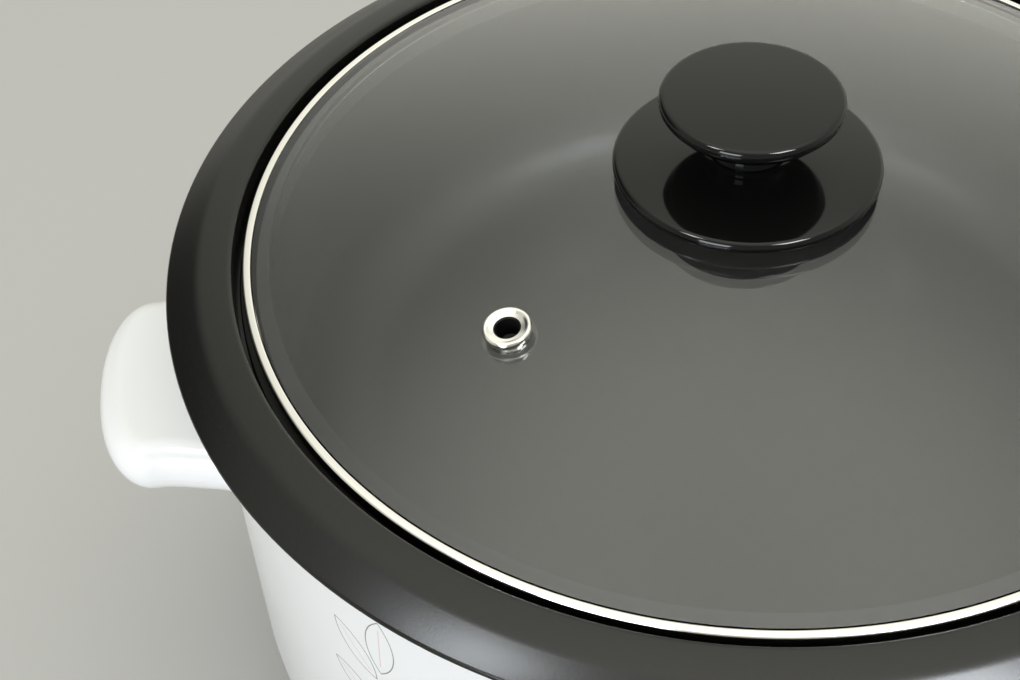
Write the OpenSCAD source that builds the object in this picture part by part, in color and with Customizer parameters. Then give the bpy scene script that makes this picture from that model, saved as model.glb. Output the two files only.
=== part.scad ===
// Electric hot pot with a loose glass lid: a removable pot over a sprung sensor and a cast heating
// plate, in a double-walled round body with two lug handles, a control panel and a rear inlet.
// Millimetres, +Z up. The origin is on the floor, on the pot's axis. The front faces -Y.

/* [Pot] */
// Inside diameter of the pot at its mouth
pot_mouth_d = 248; // [244:0.5:256]
// How much narrower the pot's wall stands at its floor than at its mouth, across
pot_draft = 5; // [4:0.5:16]
// Depth of the pot from its flange to its floor
pot_depth = 64; // [56:1:90]
// Radius between the pot's floor and its wall, inside
pot_corner_r = 23; // [12:1:30]
// Sheet thickness of the pot
pot_t = 2; // [1.2:0.1:2.6]
// How far the pot's flange reaches out from its mouth
flange_w = 7.4; // [7:0.1:9]
// Thickness of the pot's flange
flange_t = 2; // [1.2:0.1:3]

/* [Lid] */
// How far the lid's rim reaches out past the pot's mouth
rim_lap = 6; // [4.5:0.1:6.5]
// Width of the steel rim's outer band, seen from above
rim_t = 2.4; // [1.2:0.1:2.8]
// Height of the steel rim above the pot's flange
rim_h = 6; // [5.5:0.1:8]
// Sheet thickness of the rim's inner lip and skirt
rim_lip_t = 0.8; // [0.5:0.1:1]
// Depth of the rim's skirt below the lip, inside the pot's mouth
rim_skirt_h = 4.5; // [2:0.5:8]
// Thickness of the lid's glass
glass_t = 3.5; // [3:0.1:4]
// Rise of the glass dome above the rim
glass_rise = 17.2; // [10:0.2:30]
// Thickness of the seal between the glass and the rim's lip, at the glass's edge
seal_t = 0.6; // [0.3:0.1:0.8]

/* [Lid knob] */
// Diameter of the knob's grip
grip_d = 46; // [36:0.2:56]
// Height of the grip above the saucer
grip_h = 17; // [14:0.1:24]
// Diameter of the grip's neck where it meets the saucer
neck_d = 19.6; // [16:0.2:26]
// Diameter of the saucer under the grip
saucer_d = 67.7; // [56:0.1:90]
// Height of the saucer at its middle
saucer_h = 5; // [4.4:0.1:7]
// Diameter of the screw that holds the knob
knob_screw_d = 4.8; // [4:0.1:6]
// Thickness of the two washers on the glass
washer_t = 0.8; // [0.6:0.1:1.5]

/* [Steam vent] */
// Distance of the vent from the lid's axis
vent_at = 78.5; // [60:0.5:100]
// Direction of the vent, seen from above
vent_angle = -148.2; // [-180:0.1:180]
// Diameter of the vent's hole
vent_hole_d = 6.7; // [4:0.1:8]
// Diameter of the vent's upper flange
vent_flange_d = 11.9; // [11:0.1:16]
// Height of the vent's upper flange above the glass
vent_flange_h = 2.4; // [1.4:0.1:3]
// Sheet thickness of the vent's eyelet
vent_t = 0.6; // [0.4:0.1:0.8]

/* [Collar] */
// Width of the groove between the pot's flange and the collar's mouth
groove_w = 1; // [0.6:0.1:3]
// Width of the collar, seen from above
collar_w = 18; // [17:0.1:26]
// Height of the collar's lip above the pot's flange
lip_rise = 7.6; // [5:0.1:10]
// Height of the collar from its lip to its lower edge
collar_h = 14; // [13:0.2:20]
// How far the collar's edge drops below its lip
collar_drop = 5.3; // [3:0.1:6]
// Wall thickness of the collar
collar_t = 2.5; // [2:0.1:2.8]
// How far the body stands back from the collar's edge
collar_step = 8.4; // [7:0.1:9]

/* [Body] */
// Wall thickness of the outer shell
shell_t = 2.5; // [1.8:0.1:2.8]
// Radius of the curve between the shell's side and its bottom
shell_corner_r = 22; // [12:1:24]
// How far the shell reaches up inside the collar
shell_lap = 6.4; // [5:0.1:8]
// How far the base cover's edge stands in from the shell's side
cover_in = 28; // [28:0.5:34]
// Thickness of the base cover
cover_t = 2.5; // [2:0.1:4]
// Height of the bay between the base and the liner's floor
bay_h = 44; // [44:1:60]
// Sheet thickness of the inner liner
liner_t = 0.8; // [0.5:0.1:1]
// Gap between the pot's wall and the liner, at the mouth
liner_gap = 1; // [0.6:0.1:1.4]
// Radius of the liner's lower corner
liner_corner_r = 22; // [8:1:24]

/* [Handles] */
// Width of each handle across its round end
handle_w = 62.8; // [56:0.2:80]
// How far each handle stands out from the shell
handle_out = 31.6; // [28:0.2:40]
// Height of each handle, which is rounded all the way over its edge
handle_h = 16; // [14:0.5:20]
// Length of the handle's round end
handle_end = 15; // [13:0.5:20]
// How much each side of the handle widens per millimetre towards the shell
handle_flare = 0.26; // [0.1:0.01:0.4]
// Radius of the fillet between the handle's side and the shell
handle_root_r = 10; // [4:0.5:12]
// Gap between the handle and the collar above it
handle_drop = 17.6; // [4:0.1:24]
// Depth of the finger pocket under each handle
pocket_h = 9; // [6:0.5:10]

/* [Feet and fixings] */
// Height of the feet below the base cover
foot_h = 6; // [4:0.5:14]
// Diameter of each foot
foot_d = 18; // [12:0.5:20]
// How far the feet's middles stand in from the base cover's edge
foot_in = 20; // [18:0.5:24]
// Diameter of the small screws
screw_d = 3.2; // [2.6:0.1:3.6]
// Diameter of the long screws that clamp the stack
tie_screw_d = 3.8; // [3:0.1:4.4]
// How far the clamping screws stand in from the heater tube
tie_in = 20; // [18:0.5:28]
// Number of vent slots in the base cover
slot_count = 12; // [4:1:18]
// Width of each vent slot
slot_w = 4; // [2:0.5:6]

/* [Heating plate] */
// How far the heating plate's edge stands in from the flat of the pot's floor
plate_in = 0.5; // [0:0.5:8]
// Thickness of the heating plate
plate_t = 9; // [7:0.5:14]
// Length of the posts under the plate
post_h = 9.2; // [8.5:0.1:16]
// Diameter of the sheathed heater tube
tube_d = 8; // [6:0.2:8.4]
// How far the heater tube stands in from the heating plate's edge
tube_in = 20; // [16:0.5:22]

/* [Sensor] */
// Diameter of the sensor's cap
cap_d = 26; // [24:0.5:30]
// Travel of the sensor when the pot is lifted out
sensor_travel = 4; // [2:0.1:4]
// Diameter of the sensor's stem
stem_d = 6; // [5:0.1:6.4]
// Diameter of the spring's wire
spring_wire_d = 1.4; // [1:0.1:1.6]
// Number of turns of the spring
spring_turns = 6; // [3:0.5:7]

/* [Controls] */
// Width of the control panel
panel_w = 100; // [96:1:110]
// Height of the control panel
panel_h = 46; // [44:1:48]
// How far the panel's face stands out from the shell
panel_out = 4.5; // [3.5:0.1:10]
// Wall thickness of the control panel
panel_t = 2.5; // [1.8:0.1:3]
// Height of the control's axis above the base
control_z = 32; // [31:0.5:33]
// Diameter of the temperature knob
dial_d = 34; // [28:0.5:38]
// Height of the temperature knob off the panel
dial_h = 11; // [9:0.5:14]
// Diameter of the control's shaft
shaft_d = 6; // [5:0.1:6.4]
// Diameter of the pilot lamps' lenses
lens_d = 6.4; // [5.6:0.1:7.4]
// How far the lenses' middles stand in from the control panel's ends
lens_in = 19; // [18:0.5:24]

/* [Inlet] */
// Width of the inlet housing's outer frame
inlet_w = 56; // [54:1:70]
// Height of the inlet housing's outer frame
inlet_h = 32; // [30:1:34]
// How far the inlet housing stands out from the shell
inlet_out = 14; // [10:0.5:16]
// Depth of the inlet's socket
socket_depth = 22; // [16:0.5:22]
// Diameter of the inlet's pins
pin_d = 4.8; // [4:0.1:5.4]
// Distance between the inlet's pins
pin_pitch = 19; // [16:0.5:22]

/* [Clearances] */
// Radial gap of a shaft that runs in its bore
running_gap = 0.05; // [0.03:0.01:0.08]
// Radial gap of a screw or a fixed pin in its hole
screw_gap = 0.1; // [0.05:0.05:0.3]
// Gap between pieces that are set close together
part_gap = 0.3; // [0.2:0.05:0.4]

/* [Hidden] */
$fn = 120;
eps = 0.01;           // how far a cut runs past the face it opens
arc_step = 9;         // largest turn between two points of a rounded corner, in degrees

// Radii, from the pot's mouth outwards
mouth_r = pot_mouth_d / 2;
base_r = mouth_r - pot_draft / 2;
flange_r = mouth_r + flange_w;
collar_in_r = flange_r + groove_w;
collar_r = collar_in_r + collar_w;
shell_r = collar_r - collar_step;
shell_in_r = shell_r - shell_t;
liner_in_r = mouth_r + pot_t + liner_gap;
liner_r = liner_in_r + liner_t;
rim_r = mouth_r + rim_lap;
glass_r = rim_r - rim_t - screw_gap;
rim_skirt_r = mouth_r - 2 * part_gap;
cover_r = shell_r - cover_in;
foot_at = cover_r - foot_in;
plate_r = base_r - pot_corner_r - plate_in;
tube_at = plate_r - tube_in;
tie_at = tube_at - tie_in;

// Levels above the floor
base_z = foot_h;
cover_top_z = base_z + cover_t;
liner_z = base_z + bay_h;
liner_floor_z = liner_z + liner_t;
boss_z = liner_floor_z + post_h;
plate_boss_h = 4;
plate_z = boss_z + plate_boss_h;
plate_top_z = plate_z + plate_t;
pot_floor_z = plate_top_z + pot_t;
flange_top_z = pot_floor_z + pot_depth;
flange_z = flange_top_z - flange_t;
liner_rim_z = flange_z - part_gap;
ledge_z = liner_rim_z - liner_t;
ledge_under_z = ledge_z - collar_t;
rim_z = flange_top_z + rim_h;
lip_z = flange_top_z + lip_rise;
skirt_z = lip_z - collar_h;
shell_top_z = skirt_z + shell_lap;
dial_z = base_z + control_z;

// The glass is a slice of a sphere
dome_r = (pow(glass_r, 2) + pow(glass_rise, 2)) / (2 * glass_rise);
dome_z = rim_z + glass_rise - dome_r;
dome_top_z = rim_z + glass_rise;
washer_r = neck_d / 2 - 0.8;
saucer_lift = 2;      // height of the saucer's edge above the glass
saucer_edge_t = 3.1;
grip_edge_t = 6.6;    // from the grip's lower edge to its top
film_gap = 0.02;      // keeps the seal's curved face off the glass

// Fixings
screw_r = screw_d / 2;
tie_screw_r = tie_screw_d / 2;
head_h = 2;
boss_wall = 2;        // wall of a boss round its screw
boss_r = screw_r + screw_gap + boss_wall;
pillar_r = tie_screw_r + screw_gap + 4;
tie_angles = [90, 210, 330];
quarter_angles = [0, 90, 180, 270];
corner_angles = [45, 135, 225, 315];

// Collar bosses, and the shell's lugs under them
collar_boss_at = shell_in_r - boss_r - 1.8;
collar_boss_h = 14;
collar_foot_t = 1.5;
lug_top_z = ledge_under_z - collar_boss_h;
lug_t = 3;
lug_w = 12;

// Rim of the shell's floor, which the base cover is screwed to
cover_screw_at = cover_r - 5;
cover_land_r = cover_r - 10;

// Handles, on the +X side
handle_top_z = skirt_z - handle_drop;
handle_low_z = handle_top_z - handle_h;
handle_mid_z = handle_top_z - handle_h / 2;
handle_edge_r = handle_h / 2;
handle_reach = shell_r + handle_out;
handle_side_x = handle_reach - handle_end;
handle_power = 2.25;  // how square the round end is: 2 is an ellipse
handle_ease = 6;      // length over which the side turns into its flare
handle_screw_y = handle_w / 2 - 5.9;
handle_screw_l = 14;
pocket_corner_r = 6;
pocket_in_x = shell_r + 5;
pocket_out_x = handle_reach - handle_edge_r - 4.7;
pocket_w = 2 * (handle_screw_y - 6.5);

// Heater tube, sensor and their places
tube_r = tube_d / 2;
tube_z = boss_z + 1;
rib_w = tube_d + 6;
tube_half_gap = 7.4;  // half of the angle left open between the tube's ends
pin_x = tube_at * sin(tube_half_gap);
pin_y = -tube_at * cos(tube_half_gap);
pin_low_z = liner_z - 6;
cap_r = cap_d / 2;
cap_t = 1.2;
cap_h = 12;
stem_r = stem_d / 2;
guide_wall = 2.4;
guide_r = stem_r + running_gap + guide_wall;
guide_flange_r = cap_r + 5;
guide_flange_t = 2;
guide_low_z = liner_z - 5.7;
clip_t = 1;
clip_top_z = guide_low_z - sensor_travel - part_gap;
clip_r = stem_r + 3;
spring_r = guide_r + 1.2 + spring_wire_d / 2;
spring_low_z = liner_floor_z + guide_flange_t;
spring_high_z = plate_top_z - cap_t;
guide_top_z = spring_low_z + 4;

// Thermal fuse
fuse_x = -(tie_at - 16);
fuse_r = 2.5;
fuse_l = 16;
fuse_z = plate_z - fuse_r - part_gap;
lead_r = 1.3;
lead_out = 5;

// Control panel, from its face back to the bracket inside the shell
panel_y = -(shell_r + panel_out);
panel_corner_r = 12;
panel_in_w = panel_w - 14;
panel_in_h = panel_h - 9;
bracket_y = -(shell_r - 14);
bracket_t = 1.2;
bracket_h = panel_in_h - 3;
bush_r = 5;
panel_boss_x = panel_in_w / 2 - boss_r - 1;
panel_boss_z = panel_in_h / 2 - boss_r - 1;
thermostat_w = 28;
thermostat_h = 20;
thermostat_l = 22;
nut_t = 2.5;
opening_corner_r = 4;
lens_at = panel_w / 2 - lens_in;
lens_rise = 6;        // height of the lenses above the control's axis
lens_flange_w = 1;
lens_wall = 0.8;
lens_l = 7;           // length of the lens behind the panel's face
shaft_hold = 9;       // length of shaft inside the thermostat, and inside the knob
dial_gap = 0.7;
dial_rim_t = 2;
pointer_w = 8;
terminal_x = 7;
terminal_w = 6;
terminal_l = 6;
terminal_t = 0.8;

// Inlet, from its mouth inwards
inlet_y = shell_r + inlet_out;
socket_w = inlet_w - 14;
socket_h = inlet_h - 12;
inlet_wall = 3;
inlet_body_w = socket_w + 2 * inlet_wall;
inlet_body_h = socket_h + 2 * inlet_wall;
socket_back_y = inlet_y - socket_depth;
inlet_back_y = socket_back_y - 8;
inlet_z = base_z + control_z - 4;
pin_r = pin_d / 2;
pin_back = 6;
contact_w = 6;
contact_t = 1;

wire_r = 1.4;
wire_low_z = base_z + 14;
wire_x = 34;

function unit(v) = v / norm(v);

function turned(v, angle) = [v.x * cos(angle) - v.y * sin(angle), v.x * sin(angle) + v.y * cos(angle)];

// Points of the arc of radius r that rounds the corner b between a and c
function corner_arc(a, b, c, r) =
    let (u = unit(a - b),
         v = unit(c - b),
         half = acos(u * v) / 2,
         centre = b + unit(u + v) * r / sin(half),
         first = b + u * r / tan(half) - centre,
         turn = -sign(cross(u, v)) * (180 - 2 * half),
         steps = max(2, ceil(abs(turn) / arc_step)))
    [for (i = [0:steps]) centre + turned(first, turn * i / steps)];

// Closed outline through the corners [x, y, radius]
function rounded(corners) =
    let (n = len(corners), flat = [for (c = corners) [c.x, c.y]])
    [for (i = [0:n - 1])
        each corners[i].z > 0
            ? corner_arc(flat[(i + n - 1) % n], flat[i], flat[(i + 1) % n], corners[i].z)
            : [flat[i]]];

// Height of a dome of radius r about the glass's centre, at the distance d from the axis
function dome_height(r, d) = dome_z + sqrt(r * r - d * d);

// Points along that dome from the distance d0 to d1
function dome_arc(r, d0, d1, steps = 24) =
    [for (i = [0:steps]) let (d = d0 + (d1 - d0) * i / steps) [d, dome_height(r, d)]];

// Half of the chord of the shell's inside, at the distance y from the axis
function shell_half_chord(y) = sqrt(pow(shell_in_r, 2) - y * y);

module revolve(corners) {
    rotate_extrude() polygon(rounded(corners));
}

module rounded_rect(w, h, r) {
    square([w - 2 * r, h], center = true);
    square([w, h - 2 * r], center = true);
    for (x = [-1, 1], y = [-1, 1])
        translate([x * (w / 2 - r), y * (h / 2 - r)]) circle(r);
}

// Rounded block that stands in the XZ plane at the height z, from y0 to y1
module upright_block(w, h, r, z, y0, y1) {
    translate([0, y1, z]) rotate([90, 0, 0]) linear_extrude(y1 - y0) rounded_rect(w, h, r);
}

module at_angles(angles, distance) {
    for (a = angles) rotate([0, 0, a]) translate([distance, 0, 0]) children();
}

// Pan-head screw with a cross recess, its shank up +Z from the underside of its head
module screw(shank_r, shank_l) {
    head_r = 1.9 * shank_r;
    recess_w = 0.35 * shank_r;
    cylinder(r = shank_r, h = shank_l);
    difference() {
        translate([0, 0, -head_h]) cylinder(r = head_r, h = head_h);
        for (a = [0, 90])
            rotate([0, 0, a])
                translate([-shank_r, -recess_w, -head_h - eps])
                    cube([2 * shank_r, 2 * recess_w, head_h / 2]);
    }
}

// Straight rod from a to b
module rod(a, b, r) {
    run = b - a;
    translate(a)
        rotate([0, acos(run.z / norm(run)), atan2(run.y, run.x)])
            cylinder(r = r, h = norm(run), $fn = 32);
}

// Insulated wire through its points, with its bends a little fuller than its runs
module wire(points, r) {
    for (i = [0:len(points) - 2]) rod(points[i], points[i + 1], r);
    for (i = [1:len(points) - 2]) translate(points[i]) sphere(1.03 * r, $fn = 32);
}

// Space inside the shell, drawn in by a gap
module shell_cavity(gap) {
    revolve([[0, base_z + shell_t + gap, 0],
             [shell_in_r - gap, base_z + shell_t + gap, shell_corner_r - shell_t],
             [shell_in_r - gap, shell_top_z, 0],
             [0, shell_top_z, 0]]);
}

// Solid inside the shell's outer face
module shell_body() {
    revolve([[0, base_z, 0],
             [shell_r, base_z, shell_corner_r],
             [shell_r, shell_top_z, 0],
             [0, shell_top_z, 0]]);
}

// Moves its children onto the glass at the steam vent, square to the dome
module at_vent() {
    translate([0, 0, dome_z])
        rotate([0, asin(vent_at / dome_r), vent_angle])
            translate([0, 0, dome_r])
                children();
}

module outer_shell() {
    land_z = cover_top_z + shell_t;
    opening_r = cover_r + part_gap;
    color("white") difference() {
        union() {
            revolve([[opening_r, base_z, 0],
                     [shell_r, base_z, shell_corner_r],
                     [shell_r, shell_top_z, 0.6],
                     [shell_in_r, shell_top_z, 0.6],
                     [shell_in_r, base_z + shell_t, shell_corner_r - shell_t],
                     [opening_r + shell_t, base_z + shell_t, 0],
                     [opening_r + shell_t, land_z, 0],
                     [cover_land_r, land_z, 0],
                     [cover_land_r, cover_top_z, 0],
                     [opening_r, cover_top_z, 0]]);
            at_angles(quarter_angles, cover_screw_at)
                translate([0, 0, cover_top_z]) cylinder(r = boss_r, h = 10);
            at_angles(corner_angles, collar_boss_at)
                translate([-boss_r - 0.8, -lug_w / 2, lug_top_z - lug_t])
                    cube([shell_in_r + shell_t / 2 - collar_boss_at + boss_r + 0.8, lug_w, lug_t]);
        }
        at_angles(quarter_angles, cover_screw_at)
            translate([0, 0, cover_top_z - eps]) cylinder(r = screw_r + screw_gap, h = 9);
        at_angles(corner_angles, collar_boss_at)
            translate([0, 0, lug_top_z - lug_t - eps])
                cylinder(r = screw_r + screw_gap, h = lug_t + 2 * eps);
        for (side = [-1, 1], y = [-1, 1])
            translate([side * (shell_r - 4 * shell_t), y * handle_screw_y, handle_mid_z])
                rotate([0, side * 90, 0])
                    cylinder(r = screw_r + screw_gap, h = 6 * shell_t);
        upright_block(panel_in_w, panel_in_h, opening_corner_r, dial_z, panel_y, bracket_y);
        upright_block(inlet_body_w + 2 * part_gap, inlet_body_h + 2 * part_gap, opening_corner_r, inlet_z,
                      inlet_back_y, inlet_y);
    }
}

// The collar's underside slopes in from its edge to a foot that hangs round the shell
module top_collar() {
    edge_z = lip_z - collar_drop;
    foot_in_r = shell_r + part_gap;
    foot_r = foot_in_r + collar_foot_t;
    slope = (edge_z - skirt_z) / (collar_r - foot_r);
    wall_up = collar_t * norm([1, slope]);
    function inside_z(r) = skirt_z + slope * (r - foot_r) + wall_up;
    bend_r = collar_r - 1.6 * collar_t;
    color([0.2, 0.2, 0.19]) difference() {
        union() {
            revolve([[collar_in_r, ledge_z, 0],
                     [collar_in_r, lip_z, 1.2],
                     [collar_in_r + 0.55 * collar_w, lip_z - 0.9, 14],
                     [collar_r, edge_z, 1],
                     [foot_r, skirt_z, 0.6],
                     [foot_in_r, skirt_z, 0],
                     [foot_in_r, inside_z(foot_in_r), 0],
                     [bend_r, inside_z(bend_r), 0],
                     [collar_in_r + collar_t, lip_z - collar_t - 0.7, 0],
                     [collar_in_r + collar_t, ledge_under_z, 0],
                     [liner_r + part_gap, ledge_under_z, 0],
                     [liner_r + part_gap, ledge_z, 0]]);
            at_angles(corner_angles, collar_boss_at)
                translate([0, 0, lug_top_z]) cylinder(r = boss_r, h = collar_boss_h + collar_t);
            at_angles(corner_angles, collar_boss_at)
                translate([-boss_r, -1, ledge_under_z]) cube([boss_r, 2, collar_t]);
        }
        at_angles(corner_angles, collar_boss_at)
            translate([0, 0, lug_top_z - eps]) cylinder(r = screw_r + screw_gap, h = 10);
    }
}

// Point of the handle's round end, at the angle a from its tip
function handle_end_point(a) =
    [handle_side_x + handle_end * pow(cos(a), 2 / handle_power),
     handle_w / 2 * pow(sin(a), 2 / handle_power)];

// Point of the handle's flared side, s before its round end
function handle_side_point(s) =
    [handle_side_x - s,
     handle_w / 2 + handle_flare * (s < handle_ease ? s * s / (2 * handle_ease) : s - handle_ease / 2)];

// Centre of the fillet that touches both the flared side and the shell
function handle_root_centre() =
    let (slant = norm([1, handle_flare]),
         out_x = handle_root_r * handle_flare / slant,
         top_y = handle_side_point(handle_ease).y + handle_flare * (handle_side_x - handle_ease)
             + handle_root_r / slant,
         q = out_x - top_y * handle_flare,
         rest = out_x * out_x + top_y * top_y - pow(shell_r + handle_root_r, 2),
         x = (sqrt(q * q - slant * slant * rest) - q) / (slant * slant))
    [x + out_x, top_y - handle_flare * x];

// Half of the handle's outline, from its tip to where its fillet runs out on the shell
function handle_half() =
    let (centre = handle_root_centre(),
         first = atan2(-1, -handle_flare),
         last = atan2(-centre.y, -centre.x))
    concat([for (a = [0:6:84]) handle_end_point(a)],
           [for (s = [0:handle_ease / 3:handle_ease]) handle_side_point(s)],
           [for (i = [0:6])
               let (a = first + (last - first) * i / 6)
               centre + handle_root_r * [cos(a), sin(a)]]);

// Outline of the handle drawn in by d along its normals, closed inside the shell
function handle_layer(d) =
    let (half = handle_half(),
         n = len(half),
         path = concat([for (i = [n - 1:-1:1]) [half[i].x, -half[i].y]], half),
         end = 2 * n - 2,
         in_x = shell_r - 2 * handle_edge_r - handle_root_r)
    concat([[in_x, path[0].y]],
           [for (i = [0:end])
               let (run = unit(path[min(i + 1, end)] - path[max(i - 1, 0)]))
               path[i] - d * [run.y, -run.x]],
           [[in_x, path[end].y]]);

// Handle's body, a stack of outlines drawn in further towards its top and its underside
module handle_body() {
    layers = 12;
    stack = [for (i = [0:layers])
        let (tilt = 180 * i / layers - 90)
        [for (p = handle_layer(handle_edge_r * (1 - cos(tilt))))
            [p.x, p.y, handle_mid_z + handle_edge_r * sin(tilt)]]];
    n = len(stack[0]);
    sides = [for (i = [0:layers - 1], j = [0:n - 1])
        let (a = i * n + j, b = i * n + (j + 1) % n)
        each [[a, a + n, b + n], [a, b + n, b]]];
    polyhedron([for (layer = stack) each layer],
               concat(sides, [[for (j = [0:n - 1]) j]], [[for (j = [n - 1:-1:0]) layers * n + j]]));
}

// The handle on the +X side
module handle() {
    difference() {
        handle_body();
        shell_body();
        hull()
            for (x = [pocket_in_x + pocket_corner_r, pocket_out_x - pocket_corner_r], y = [-1, 1])
                translate([x, y * (pocket_w / 2 - pocket_corner_r), handle_low_z - eps])
                    cylinder(r = pocket_corner_r, h = pocket_h + eps, $fn = 32);
        for (y = [-1, 1])
            translate([shell_in_r - handle_edge_r, y * handle_screw_y, handle_mid_z])
                rotate([0, 90, 0])
                    cylinder(r = screw_r + screw_gap, h = shell_t + handle_edge_r + handle_screw_l);
    }
}

module handle_left() {
    color("white") mirror([1, 0, 0]) handle();
}

module handle_right() {
    color("white") handle();
}

module handle_screws() {
    head_x = shell_half_chord(handle_screw_y + 2 * screw_r + eps);
    color("silver")
        for (side = [-1, 1], y = [-1, 1])
            translate([side * head_x, y * handle_screw_y, handle_mid_z])
                rotate([0, side * 90, 0]) screw(screw_r, handle_screw_l);
}

module collar_screws() {
    color("silver")
        at_angles(corner_angles, collar_boss_at)
            translate([0, 0, lug_top_z - lug_t]) screw(screw_r, lug_t + 8);
}

module base_cover() {
    color([0.22, 0.22, 0.22]) difference() {
        union() {
            translate([0, 0, base_z]) cylinder(r = cover_r, h = cover_t);
            at_angles(tie_angles, tie_at)
                translate([0, 0, base_z]) cylinder(r = pillar_r, h = bay_h);
        }
        at_angles(tie_angles, tie_at)
            translate([0, 0, base_z - eps])
                cylinder(r = tie_screw_r + screw_gap, h = bay_h + 2 * eps);
        at_angles(quarter_angles, cover_screw_at)
            translate([0, 0, base_z - eps])
                cylinder(r = screw_r + screw_gap, h = cover_t + 2 * eps);
        at_angles(corner_angles, foot_at)
            translate([0, 0, base_z - eps])
                cylinder(r = foot_d / 5 + screw_gap, h = cover_t + 2 * eps);
        at_angles([for (i = [0.5:slot_count]) 360 * i / slot_count], tie_at + 16)
            translate([0, 0, base_z - eps]) linear_extrude(cover_t + 2 * eps)
                rounded_rect(14, slot_w, slot_w / 2 - eps);
    }
}

module base_screws() {
    color("silver")
        at_angles(quarter_angles, cover_screw_at)
            translate([0, 0, base_z]) screw(screw_r, cover_t + 8);
}

module tie_screws() {
    color("silver")
        at_angles(tie_angles, tie_at)
            translate([0, 0, base_z]) screw(tie_screw_r, plate_z + 2 - base_z);
}

// Rubber foot whose barbed stem is pushed through the base cover
module foot(angle) {
    stem_r = foot_d / 5;
    color([0.15, 0.15, 0.15])
        rotate([0, 0, angle]) translate([foot_at, 0, 0])
            revolve([[0, 0, 0],
                     [foot_d / 2 - 1, 0, 1.5],
                     [foot_d / 2, base_z, 0.5],
                     [stem_r, base_z, 0],
                     [stem_r, cover_top_z + screw_gap, 0],
                     [stem_r + 1.2, cover_top_z + screw_gap, 0],
                     [stem_r - 0.6, cover_top_z + 2.6, 0],
                     [0, cover_top_z + 2.6, 0]]);
}

module foot_front_left() {
    foot(225);
}

module foot_front_right() {
    foot(315);
}

module foot_rear_left() {
    foot(135);
}

module foot_rear_right() {
    foot(45);
}

module inner_liner() {
    hole_h = liner_t + 2 * eps;
    color([0.75, 0.76, 0.77]) difference() {
        revolve([[0, liner_z, 0],
                 [liner_r, liner_z, liner_corner_r],
                 [liner_r, ledge_z, 0],
                 [flange_r - part_gap, ledge_z, 0],
                 [flange_r - part_gap, liner_rim_z, 0],
                 [liner_in_r, liner_rim_z, 0.6],
                 [liner_in_r, liner_floor_z, liner_corner_r - liner_t],
                 [0, liner_floor_z, 0]]);
        translate([0, 0, liner_z - eps]) {
            cylinder(r = guide_r + screw_gap, h = hole_h);
            at_angles(tie_angles, tie_at) cylinder(r = tie_screw_r + screw_gap, h = hole_h);
            at_angles([0, 180], guide_flange_r - 3) cylinder(r = screw_r + screw_gap, h = hole_h);
            for (side = [-1, 1]) {
                translate([side * pin_x, pin_y, 0]) cylinder(r = tube_r + 1, h = hole_h);
                translate([fuse_x, side * (fuse_l / 2 + lead_out), 0])
                    cylinder(r = lead_r + 0.8, h = hole_h);
            }
        }
    }
}

module heating_plate() {
    hole_r = cap_r + 1;
    color([0.7, 0.7, 0.69]) difference() {
        union() {
            rotate_extrude() difference() {
                polygon(rounded([[hole_r, plate_z, 0],
                                 [tube_at - rib_w / 2, plate_z, 0],
                                 [tube_at - rib_w / 2, tube_z, 0],
                                 [tube_at + rib_w / 2, tube_z, 0],
                                 [tube_at + rib_w / 2, plate_z, 0],
                                 [plate_r, plate_z, 1],
                                 [plate_r, plate_top_z, 1.5],
                                 [hole_r, plate_top_z, 0]]));
                translate([tube_at, tube_z]) circle(tube_r + screw_gap);
            }
            at_angles(tie_angles, tie_at)
                translate([0, 0, boss_z]) cylinder(r = pillar_r, h = plate_boss_h + 1);
        }
        at_angles(tie_angles, tie_at)
            translate([0, 0, boss_z - eps])
                cylinder(r = tie_screw_r + screw_gap, h = plate_boss_h + 4);
    }
}

module heater_tube() {
    color([0.55, 0.55, 0.56]) {
        rotate([0, 0, tube_half_gap - 90])
            rotate_extrude(angle = 360 - 2 * tube_half_gap)
                translate([tube_at, tube_z]) circle(tube_r);
        for (side = [-1, 1]) translate([side * pin_x, pin_y, 0]) {
            translate([0, 0, tube_z]) sphere(1.02 * tube_r);
            translate([0, 0, liner_floor_z]) cylinder(r = tube_r, h = tube_z - liner_floor_z);
            translate([0, 0, pin_low_z]) cylinder(r = 1.6, h = tube_z - pin_low_z);
        }
    }
}

module plate_posts() {
    color([0.62, 0.62, 0.64])
        at_angles(tie_angles, tie_at)
            translate([0, 0, liner_floor_z]) difference() {
                cylinder(r = pillar_r - 1, h = post_h);
                translate([0, 0, -eps]) cylinder(r = tie_screw_r + screw_gap, h = post_h + 2 * eps);
            }
}

module sensor_cap() {
    low_z = plate_top_z - cap_h;
    color([0.8, 0.8, 0.8])
        revolve([[0, spring_high_z, 0],
                 [cap_r - cap_t, spring_high_z, 1],
                 [cap_r - cap_t, low_z, 0],
                 [cap_r, low_z, 0],
                 [cap_r, plate_top_z, 2],
                 [0, plate_top_z, 0]]);
}

module sensor_stem() {
    low_z = clip_top_z - clip_t - 2;
    color([0.66, 0.66, 0.68])
        translate([0, 0, low_z]) cylinder(r = stem_r, h = spring_high_z - low_z);
}

module sensor_clip() {
    color([0.6, 0.6, 0.62])
        translate([0, 0, clip_top_z - clip_t]) difference() {
            cylinder(r = clip_r, h = clip_t);
            translate([0, 0, -eps]) cylinder(r = stem_r, h = clip_t + 2 * eps);
        }
}

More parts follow.
